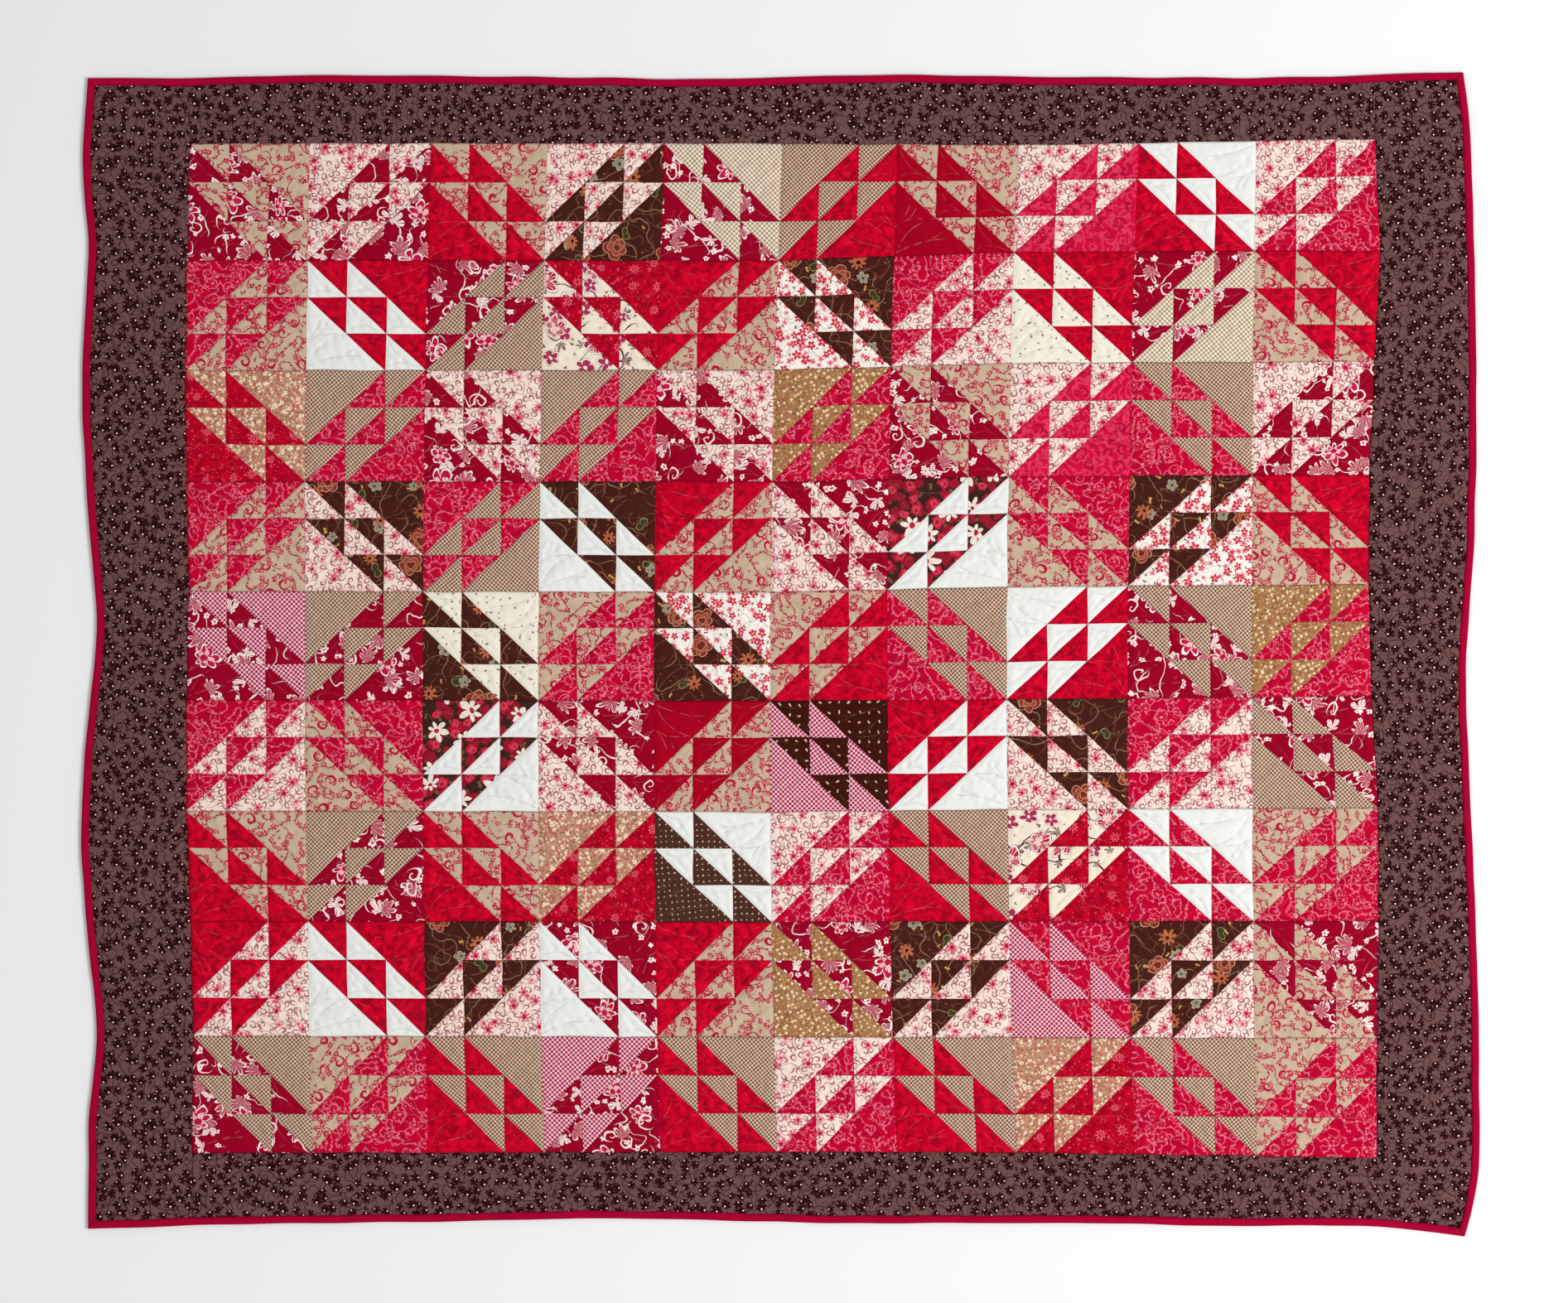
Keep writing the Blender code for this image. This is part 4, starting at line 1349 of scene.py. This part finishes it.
@dataclass(frozen=True)
class PatchPlace:
    """Which patch each position of the centre lies in, and where in that patch."""

    large: np.ndarray
    upper: np.ndarray
    p: np.ndarray
    q: np.ndarray
    number: np.ndarray

    @staticmethod
    def find(column: np.ndarray, row: np.ndarray,
             across: np.ndarray, down: np.ndarray) -> "PatchPlace":
        """Patch that holds each guide position, with p and q measured to another position.

        A large triangle's legs are two cells, a small one's one. p runs along the level leg from the
        square corner and q along the upright leg, both in cells.

        Args:
            column: cells across of the guide, which picks the patch.
            row: cells down of the guide.
            across: cells across of the position that is measured.
            down: cells down of the position that is measured.

        Returns:
            Size and place of the patch, p and q, and a number for each patch of the quilt.
        """
        block_column = np.clip(np.floor(column / CELLS), 0, BLOCK_COLUMNS - 1)
        block_row = np.clip(np.floor(row / CELLS), 0, BLOCK_ROWS - 1)
        mirrored = (block_column + block_row) % 2 == Lean.DOWN_TO_LEFT.value
        guide_s, s = (value - block_column * CELLS for value in (column, across))
        guide_s, s = (np.where(mirrored, CELLS - value, value) for value in (guide_s, s))
        guide_t, t = (value - block_row * CELLS for value in (row, down))
        cell_s = np.clip(np.floor(guide_s), 0, CELLS - 1)
        cell_t = np.clip(np.floor(guide_t), 0, CELLS - 1)
        upper = guide_s - cell_s > guide_t - cell_t
        top_large = (CELLS - guide_s) + guide_t <= LARGE_LEG
        low_large = guide_s + (CELLS - guide_t) <= LARGE_LEG
        large = top_large | low_large
        upper = np.where(large, top_large, upper)
        p = np.where(upper, cell_s + 1 - s, s - cell_s)
        q = np.where(upper, t - cell_t, cell_t + 1 - t)
        p = np.where(large, np.where(upper, CELLS - s, s), p)
        q = np.where(large, np.where(upper, t, CELLS - t), q)
        small = 2 + 2 * (CELLS * cell_t + cell_s) + upper
        block = block_column + BLOCK_COLUMNS * block_row
        number = np.where(large, upper, small) + PATCH_NUMBERS * block
        return PatchPlace(large, upper, p, q, number.astype(int))

    def seam_distance(self) -> np.ndarray:
        """Distance in mm to the nearest of the patch's three seams.

        Returns:
            One distance for each point.
        """
        leg = np.where(self.large, LARGE_LEG, 1)
        slant = (leg - self.p - self.q) / np.sqrt(2)
        return np.clip(np.minimum(np.minimum(self.p, self.q), slant), 0, None) * CELL_SIZE

    def stitch_distance(self) -> np.ndarray:
        """Distance in mm to the nearest quilted line.

        Returns:
            One distance for each point.
        """
        p, q = self.p / LARGE_LEG, self.q / LARGE_LEG
        fan = np.min([arc.distance(p, q) for arc in FAN], axis=0) * LARGE_LEG
        small = np.min([arc.distance(self.p, self.q) for arc in SMALL_ARCS], axis=0)
        return np.where(self.large, fan, small) * CELL_SIZE


@dataclass
class PatchworkRow:
    """One row of ten blocks, pieced and quilted, as a padded strip across the quilt's centre.

    steps is the grid's squares in a cell. Puff, crown, ditch, groove and pucker are heights in mm, and
    each has the distance over which it rises or fades beside it.
    """

    row: int
    shelf: ClothShelf
    flat: tuple[float, float] = (1.57, 0.147)
    steps: int = 20
    puff: float = 1.35
    puff_reach: float = 5.0
    crown: float = 0.6
    crown_reach: float = 30.0
    ditch: float = 0.6
    ditch_reach: float = 1.5
    groove: float = 1.15
    groove_reach: float = 3.0
    groove_beat: Ripple = Ripple(0.3, 13, 21)
    pucker: float = 0.46
    seam_reach: float = 12.0
    stitch_reach: float = 9.0
    fine_pucker: Ripple = Ripple(1.0, 11, 22)
    broad_pucker: Ripple = Ripple(0.9, 27, 23)

    @property
    def name(self) -> str:
        """The piece's name."""
        return f"patchwork_row_{self.row + 1}"

    def heights(self, place: PatchPlace, x: np.ndarray, y: np.ndarray) -> np.ndarray:
        """Height of the pieced top.

        Each patch rises from its seams as 1 - exp(-distance), crowns a little in a large triangle,
        is drawn down in a soft trough along each quilted line, and puckers near both.

        Args:
            place: the patch that holds each point.
            x: places across, in mm.
            y: places up, in mm.

        Returns:
            Heights in mm.
        """
        seam = place.seam_distance()
        stitch = place.stitch_distance()
        away = 1 - np.exp(-seam / self.puff_reach)
        height = SEAM_HEIGHT + self.puff * away
        height += np.where(place.large, self.crown, 0.0) * np.clip(seam / self.crown_reach, 0, 1)
        height -= self.ditch * np.exp(-((seam / self.ditch_reach) ** 2))
        trough = np.exp(-((stitch / self.groove_reach) ** 2)) * (1 + self.groove_beat.at(x, y))
        height -= self.groove * away * trough
        near = np.exp(-seam / self.seam_reach) + np.exp(-stitch / self.stitch_reach)
        pucker = near * self.fine_pucker.at(x, y) + self.broad_pucker.at(x, y)
        return height + self.pucker * away * pucker

    def build(self) -> bpy.types.Object:
        """Work out the strip on a grid of cells and make it one closed object.

        Returns:
            The object.
        """
        columns = CELL_COLUMNS * self.steps + 1
        rows = CELLS * self.steps + 1
        across, down = np.meshgrid(np.arange(columns) / self.steps,
                                   np.arange(rows) / self.steps + self.row * CELLS)
        top, bottom = self.row * CELLS, (self.row + 1) * CELLS
        inner_down = np.clip(down, top + JUST_INSIDE, bottom - JUST_INSIDE)
        x, y = centre_point(across, down)
        place = PatchPlace.find(across, inner_down, across, down)
        z = self.heights(place, x, y)
        x, y = sway(x, y)
        y[0] -= JOIN_GAP
        y[-1] += JOIN_GAP
        skin = Skin()
        skin.add_points(np.stack([x, y, z], axis=-1).reshape(-1, 3), place.seam_distance().ravel())
        self.add_top(skin, rows, columns, across, down, x, y)
        pairs = block_cloths(self.row)
        codes = sorted({code for pair in pairs for code in pair}) + ["backing"]
        skin.close_under(rows, columns, len(codes) - 1)
        piece = skin.make(self.name, [self.shelf.material(code) for code in codes])
        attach(piece, BODY)
        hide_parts("pieced_centre")
        return piece

    def add_top(self, skin: Skin, rows: int, columns: int, across: np.ndarray, down: np.ndarray,
                x: np.ndarray, y: np.ndarray) -> None:
        """Split the grid's squares into triangles along each cell's diagonal, and give them cloths.

        Args:
            skin: the surface, which has the grid's points already.
            rows: points up the grid.
            columns: points across it.
            across: cells across of each point.
            down: cells down of each point.
            x: places across, in mm.
            y: places up, in mm.
        """
        grid = np.arange(rows * columns).reshape(rows, columns)
        a, b = grid[:-1, :-1].ravel(), grid[:-1, 1:].ravel()
        c, d = grid[1:, 1:].ravel(), grid[1:, :-1].ravel()
        block = np.floor(across[:-1, :-1].ravel() / CELLS + JUST_INSIDE).astype(int)
        mirrored = ((block + self.row) % 2 == Lean.DOWN_TO_LEFT.value)[:, None]
        first = np.where(mirrored, np.stack([a, d, b], axis=1), np.stack([a, c, b], axis=1))
        second = np.where(mirrored, np.stack([b, d, c], axis=1), np.stack([a, d, c], axis=1))
        faces = np.concatenate([first, second])
        corner_across, corner_down = across.ravel()[faces], down.ravel()[faces]
        guide_across = np.broadcast_to(corner_across.mean(axis=1)[:, None], faces.shape)
        guide_down = np.broadcast_to(corner_down.mean(axis=1)[:, None], faces.shape)
        place = PatchPlace.find(guide_across, guide_down, corner_across, corner_down)
        flag = np.where(place.large, 0.0, SMALL_FLAG)
        patch = np.stack([place.p + flag, place.q], axis=-1).reshape(-1, 2)
        pairs = block_cloths(self.row)
        codes = sorted({code for pair in pairs for code in pair})
        table = np.array([[codes.index(lower), codes.index(upper)] for upper, lower in pairs])
        cloth = table[np.concatenate([block, block]), place.upper[:, 0].astype(int)]
        printed = self.print_places(place, x.ravel()[faces], y.ravel()[faces])
        skin.add_faces(faces, cloth, True, printed, patch)

    def print_places(self, place: PatchPlace, x: np.ndarray, y: np.ndarray) -> np.ndarray:
        """Print coordinates: each patch is cut from its own spot of the cloth, with or across the grain.

        Args:
            place: the patch that holds each point.
            x: places across, in mm.
            y: places up, in mm.

        Returns:
            Coordinates in metres, one row a point.
        """
        total = PATCH_NUMBERS * BLOCK_COLUMNS * BLOCK_ROWS
        seed, slant, cloth_reach = 7, 0.05, 900
        draw = np.random.default_rng(seed)
        turn = draw.integers(0, 4, total) * np.pi / 2 + draw.normal(0, slant, total)
        shift = draw.uniform(-cloth_reach, cloth_reach, (total, 2))
        angle = turn[place.number]
        u = x * np.cos(angle) - y * np.sin(angle) + shift[place.number, 0]
        v = x * np.sin(angle) + y * np.cos(angle) + shift[place.number, 1]
        return np.stack([u, v], axis=-1).reshape(-1, 2) * MM


def centre_side(side: int, y: np.ndarray) -> np.ndarray:
    """Where the seam between the centre and a side border runs.

    Args:
        side: -1 for the left, +1 for the right.
        y: heights on the quilt in mm.

    Returns:
        x of the seam at those heights, in mm.
    """
    rows = np.arange(0, CELL_ROWS + 1, 0.5)
    seam_x, seam_y = centre_point(np.full(rows.shape, 0.0 if side < 0 else CELL_COLUMNS), rows)
    return np.interp(-y, -seam_y, seam_x)


def centre_end(end: int, x: np.ndarray) -> np.ndarray:
    """Where the seam between the centre and an end border runs.

    Args:
        end: -1 for the bottom, +1 for the top.
        x: distances across in mm.

    Returns:
        y of the seam at those distances, in mm.
    """
    columns = np.arange(0, CELL_COLUMNS + 1, 0.5)
    seam_x, seam_y = centre_point(columns, np.full(columns.shape, CELL_ROWS if end < 0 else 0.0))
    return np.interp(x, seam_x, seam_y)


@dataclass
class BorderStrip:
    """Border strip: side is -1 or +1 for a side strip, end is -1 or +1 for one between them.

    All but the flat sizes are in mm. The grid's lines at the depths, set in from the outline, are
    tucked under the binding or lie just past it. The rest are spacing apart along the strip, and
    side_lines or end_lines share the way from there to the centre. Puff and ditch are heights that
    rise or fade over their reach. Past the centre's corners there is no seam, so the distance from
    one grows by no_seam. Each strip is cut from its own spot of the cloth.
    """

    name: str
    shelf: ClothShelf
    side: int = 0
    end: int = 0
    side_flat: tuple[float, float] = (0.142, 1.515)
    end_flat: tuple[float, float] = (1.557, 0.09)
    depths: tuple[float, ...] = (RAW_EDGE_DEPTH, 5.0, 9.8, 11.2)
    first_depth: float = 20.0
    passes: int = 5
    length: float = 1510.0
    spacing: float = 3.0
    side_lines: int = 45
    end_lines: int = 27
    corner_height: float = 700.0
    no_seam: float = 12.0
    no_seam_reach: float = 8.0
    puff: float = 1.5
    puff_reach: float = 9.0
    ditch: float = 0.4
    ditch_reach: float = 1.5
    wrinkles: tuple[Ripple, ...] = (Ripple(0.14, 120, 31), Ripple(0.14, 45, 32), Ripple(0.12, 17, 33))
    cloth_step: tuple[float, float] = (640.0, 930.0)
    cloth_start: float = 211.0

    def side_grid(self) -> tuple[np.ndarray, np.ndarray, np.ndarray]:
        """Places of a side strip: lines across go from the binding to the seam, lines up from end to end.

        The outline leans and bends, so x follows from y and y from x, in a few passes.

        Returns:
            x, y and the distance from the nearest seam.
        """
        depths = self.depths
        share = np.linspace(0, 1, self.side_lines + 1)[1:]
        up = np.linspace(0, 1, int(self.length / self.spacing))[1:-1]
        rows = 2 * len(depths) + len(up)
        columns = len(depths) + len(share)
        y = np.zeros((rows, columns))
        x = np.full((rows, columns), side_x(self.side, 0.0, self.first_depth))
        for _ in range(self.passes):
            top = [end_y(1, x[k], depths[k]) for k in range(len(depths))]
            bottom = [end_y(-1, x[-1 - k], depths[k]) for k in range(len(depths))]
            y[:len(depths)] = top
            y[-len(depths):] = bottom[::-1]
            y[len(depths):-len(depths)] = top[-1] + (bottom[-1] - top[-1]) * up[:, None]
            for k in range(columns):
                outer = side_x(self.side, y[:, k], depths[min(k, len(depths) - 1)])
                x[:, k] = outer
                if k >= len(depths):
                    inner = centre_side(self.side, y[:, k]) + self.side * JOIN_GAP
                    x[:, k] = outer + (inner - outer) * share[k - len(depths)]
        past = np.maximum(y - centre_end(1, x), centre_end(-1, x) - y)
        beyond = np.clip(past / self.no_seam_reach, 0, 1)
        seam = np.abs(x - centre_side(self.side, y)) + self.no_seam * beyond
        if self.side < 0:
            return x, y, seam
        return x[:, ::-1], y[:, ::-1], seam[:, ::-1]

    def end_grid(self) -> tuple[np.ndarray, np.ndarray, np.ndarray]:
        """Places of an end strip: lines across follow the seam with the centre, then the outline.

        Returns:
            x, y and the distance from the nearest seam.
        """
        height = np.array(self.end * self.corner_height)
        left, right = (centre_side(side, height) for side in (-1, 1))
        x_line = np.linspace(left + JOIN_GAP, right - JOIN_GAP, int((right - left) / self.spacing))
        seam_line = centre_end(self.end, x_line) + self.end * JOIN_GAP
        outer = end_y(self.end, x_line, self.depths[-1])
        share = np.linspace(0, 1, self.end_lines + 1)[:-1]
        y = np.concatenate([
            seam_line + (outer - seam_line) * share[:, None],
            [end_y(self.end, x_line, depth) for depth in self.depths[::-1]],
        ])
        x = np.broadcast_to(x_line, y.shape).copy()
        to_sides = np.minimum(x - left, right - x) + self.no_seam
        seam = np.minimum(np.abs(y - centre_end(self.end, x)), to_sides)
        if self.end < 0:
            return x, y, seam
        return x[::-1], y[::-1], seam[::-1]

    def build(self) -> bpy.types.Object:
        """Work out the strip's gentle crown, ripples and tucked edge, and make it one closed object.

        Returns:
            The object.
        """
        x, y, seam = self.side_grid() if self.side else self.end_grid()
        edges = [np.abs(x - side_x(side, y, 0.0)) for side in (-1, 1)]
        edges += [np.abs(y - end_y(end, x, 0.0)) for end in (-1, 1)]
        edge = np.min(edges, axis=0)
        near = np.minimum(seam, np.clip(edge - BINDING_WIDTH, 0, None))
        away = 1 - np.exp(-near / self.puff_reach)
        z = SEAM_HEIGHT + away * (self.puff + sum(wrinkle.at(x, y) for wrinkle in self.wrinkles))
        z -= self.ditch * np.exp(-((seam / self.ditch_reach) ** 2))
        z = np.where(edge < BINDING_WIDTH, TUCKED_HEIGHT, z)
        rows, columns = x.shape
        x, y = sway(x, y)
        skin = Skin()
        skin.add_points(np.stack([x, y, z], axis=-1).reshape(-1, 3), seam.ravel())
        grid = np.arange(rows * columns).reshape(rows, columns)
        faces = np.stack([grid[:-1, :-1], grid[1:, :-1], grid[1:, 1:], grid[:-1, 1:]], axis=-1)
        faces = faces.reshape(-1, 4)
        step_x, step_y = self.cloth_step
        shift = np.array([self.side * step_x, self.end * step_y + self.cloth_start])
        places = (np.stack([x, y], axis=-1).reshape(-1, 2)[faces.ravel()] + shift) * MM
        skin.add_faces(faces, 0, True, places)
        skin.close_under(rows, columns, 1)
        piece = skin.make(self.name, [self.shelf.material("border"), self.shelf.material("backing")])
        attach(piece, BODY)
        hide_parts(self.name.removesuffix("_cloth"))
        return piece


@dataclass
class BindingStrip:
    """Folded binding along one side of the outline, mitred at both ends.

    All but the cut width are in mm. The upper half is given as depths in from the outline and heights
    over the binding's top. Inside the fold, the cloth's lower face lies inside_depth in and
    inside_height up. Pulls lift it where it is higher than pulls_above, and the drift moves its inner
    edge, from drift_depth in. Both fade out within 1 / fade of its length from the mitres. The shade
    is how fast the seam distance grows from the inner edge outwards, so that the weave paints shade
    along the upper half's inner edge, where the binding meets the border.
    """

    name: str
    shelf: ClothShelf
    side: int = 0
    end: int = 0
    cut_width: float = 0.028
    stations: int = 420
    fold_steps: int = 9
    fold_reach: float = 0.9
    upper: tuple[tuple[float, float], ...] = ((5.0, 0.15), (7.6, 0.0), (9.4, -0.5), (BINDING_WIDTH, -1.3))
    inside_depth: float = 1.3
    inside_height: float = 1.4
    pulls: Ripple = Ripple(0.22, 19, 41)
    pulls_above: float = 1.5
    drift: Ripple = Ripple(0.45, 42, 42)
    drift_depth: float = 6.0
    drift_reach: float = 4.0
    drift_above: float = 3.3
    fade: float = 60.0
    shade: float = 0.23

    def profile(self) -> np.ndarray:
        """Cross-section, from the lower half's inner edge round the outer fold to the upper half's.

        It closes along the inside of the fold.

        Returns:
            Depths in from the outline and heights, one pair a point.
        """
        turn = np.linspace(-np.pi / 2, np.pi / 2, self.fold_steps)
        middle = BINDING_TOP / 2
        fold = [(middle * self.fold_reach * (1 - np.cos(t)), middle * (1 + np.sin(t))) for t in turn]
        upper = [(depth, BINDING_TOP + rise) for depth, rise in self.upper]
        inside = [(BINDING_WIDTH, LIP_UNDERSIDE), (self.inside_depth, LIP_UNDERSIDE),
                  (self.inside_depth, self.inside_height), (BINDING_WIDTH, self.inside_height)]
        return np.array([(BINDING_WIDTH, 0.0)] + fold + upper + inside)

    def ring(self, depth: float, height: float) -> np.ndarray:
        """Carry one point of the cross-section along the outline, with pulls of the stitches and drift.

        Args:
            depth: how far in from the outline it lies.
            height: how high it lies.

        Returns:
            x, y and z of each station.
        """
        if self.side:
            top, bottom = (corner(self.side, end, depth) for end in (1, -1))
            y = np.linspace(top[1] - JOIN_GAP, bottom[1] + JOIN_GAP, self.stations)
            x = side_x(self.side, y, depth)
        else:
            left, right = (corner(side, self.end, depth) for side in (-1, 1))
            x = np.linspace(left[0] + JOIN_GAP, right[0] - JOIN_GAP, self.stations)
            y = end_y(self.end, x, depth)
        along = np.linspace(0, 1, self.stations)
        fade = np.clip(np.minimum(along, 1 - along) * self.fade, 0, 1)
        bulge = np.clip(height - self.pulls_above, 0, None) / BINDING_TOP
        z = height + bulge * fade * self.pulls.at(x, y)
        inner = np.clip((depth - self.drift_depth) / self.drift_reach, 0, 1)
        drift = inner * (height > self.drift_above) * fade * self.drift.at(x, y)
        x, y = sway(x - self.side * drift, y - self.end * drift)
        return np.stack([x, y, z], axis=-1)

    def build(self) -> bpy.types.Object:
        """Join the rings along the outline into one closed strip.

        Returns:
            The object.
        """
        profile = self.profile()
        points = np.array([self.ring(depth, height) for depth, height in profile])
        depth, height = profile.T
        # Made-up seam distance on the upper half, so that the weave paints shade along its inner edge
        seam = np.where(height > LIP_UNDERSIDE, (BINDING_WIDTH - depth) * self.shade, FAR_FROM_SEAM)
        skin = Skin()
        skin.add_points(points.reshape(-1, 3), np.repeat(seam, self.stations))
        grid = np.arange(len(profile) * self.stations).reshape(len(profile), self.stations)
        after = np.roll(grid, -1, axis=0)
        faces = np.stack([grid[:, :-1], grid[:, 1:], after[:, 1:], after[:, :-1]], axis=-1).reshape(-1, 4)
        caps = [grid[::-1, 0], grid[:, -1]]
        if self.side > 0 or self.end < 0:
            faces = faces[:, ::-1]
            caps = [cap[::-1] for cap in caps]
        skin.add_faces(faces, 0, True)
        for cap in caps:
            skin.add_faces(cap[None, :], 0, False)
        piece = skin.make(self.name, [self.shelf.material("binding")])
        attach(piece, BODY)
        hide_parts(self.name.removesuffix("_strip"))
        return piece


@dataclass
class Studio:
    """Pale floor, soft daylight and the camera straight above, as the quilt was photographed."""

    frame_width: float = 2.063
    camera_height: float = 6.0
    camera_x: float = 0.0049
    camera_y: float = 0.0038
    sensor: float = 36.0
    floor_size: float = 60.0
    floor_drop: float = 0.0005
    floor_colour: tuple[float, float, float, float] = (0.79, 0.795, 0.795, 1)
    floor_roughness: float = 0.9
    world_strength: float = 0.6
    key_place: tuple[float, float, float] = (4.2, -0.9, 4.6)
    key_size: float = 2.6
    key_power: float = 308.0

    def floor(self) -> None:
        """Plain pale floor just under the quilt."""
        half = self.floor_size / 2
        mesh = bpy.data.meshes.new("floor")
        corners = [(-half, -half), (half, -half), (half, half), (-half, half)]
        mesh.from_pydata([(x, y, -self.floor_drop) for x, y in corners], [], [(0, 1, 2, 3)])
        floor = bpy.data.objects.new("floor", mesh)
        bpy.context.scene.collection.objects.link(floor)
        material = bpy.data.materials.new("floor_pale")
        material.use_nodes = True
        shader = material.node_tree.nodes["Principled BSDF"]
        shader.inputs["Base Color"].default_value = self.floor_colour
        shader.inputs["Roughness"].default_value = self.floor_roughness
        mesh.materials.append(material)

    def softbox(self, name: str, place: tuple[float, float, float], size: float, power: float) -> None:
        """Square area light that points at the quilt's middle.

        Args:
            name: its name.
            place: where it stands, in metres.
            size: length of its side in metres.
            power: its power in watts.
        """
        light = bpy.data.lights.new(name, "AREA")
        light.size = size
        light.energy = power
        item = bpy.data.objects.new(name, light)
        item.location = place
        aim = -np.array(place) / np.linalg.norm(place)
        item.rotation_euler = (float(np.arccos(-aim[2])), 0.0, float(np.arctan2(-aim[0], aim[1])))
        bpy.context.scene.collection.objects.link(item)

    def light(self) -> None:
        """White surroundings and one large soft light above the right side, as in the photograph."""
        world = bpy.data.worlds.new("studio")
        world.use_nodes = True
        world.node_tree.nodes["Background"].inputs[0].default_value = (1, 1, 1, 1)
        world.node_tree.nodes["Background"].inputs[1].default_value = self.world_strength
        bpy.context.scene.world = world
        bpy.context.scene.view_settings.view_transform = "Standard"
        self.softbox("key", self.key_place, self.key_size, self.key_power)

    def camera(self) -> None:
        """Long lens straight above, framed as the photograph."""
        data = bpy.data.cameras.new("camera")
        data.sensor_width = self.sensor
        data.lens = self.sensor * self.camera_height / self.frame_width
        item = bpy.data.objects.new("camera", data)
        item.location = (self.camera_x, self.camera_y, self.camera_height)
        bpy.context.scene.collection.objects.link(item)
        bpy.context.scene.camera = item


def main() -> None:
    logging.basicConfig(level=logging.INFO, format="%(name)s: %(message)s")
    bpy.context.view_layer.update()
    shelf = ClothShelf(Effects())
    pieces = [PatchworkRow(row, shelf).build() for row in range(BLOCK_ROWS)]
    for label, side, end in (("left", -1, 0), ("right", 1, 0), ("top", 0, 1), ("bottom", 0, -1)):
        binding = BindingStrip(f"binding_{label}_strip", shelf, side, end).build()
        border = BorderStrip(f"border_{label}_cloth", shelf, side, end).build()
        pieces += [binding, border]
    for piece in pieces:
        size = [round(float(v), 4) for v in piece.dimensions]
        LOG.info("%s: %d faces, %s m", piece.name, len(piece.data.polygons), size)
    studio = Studio()
    studio.floor()
    studio.light()
    studio.camera()


if __name__ == "__main__":
    main()
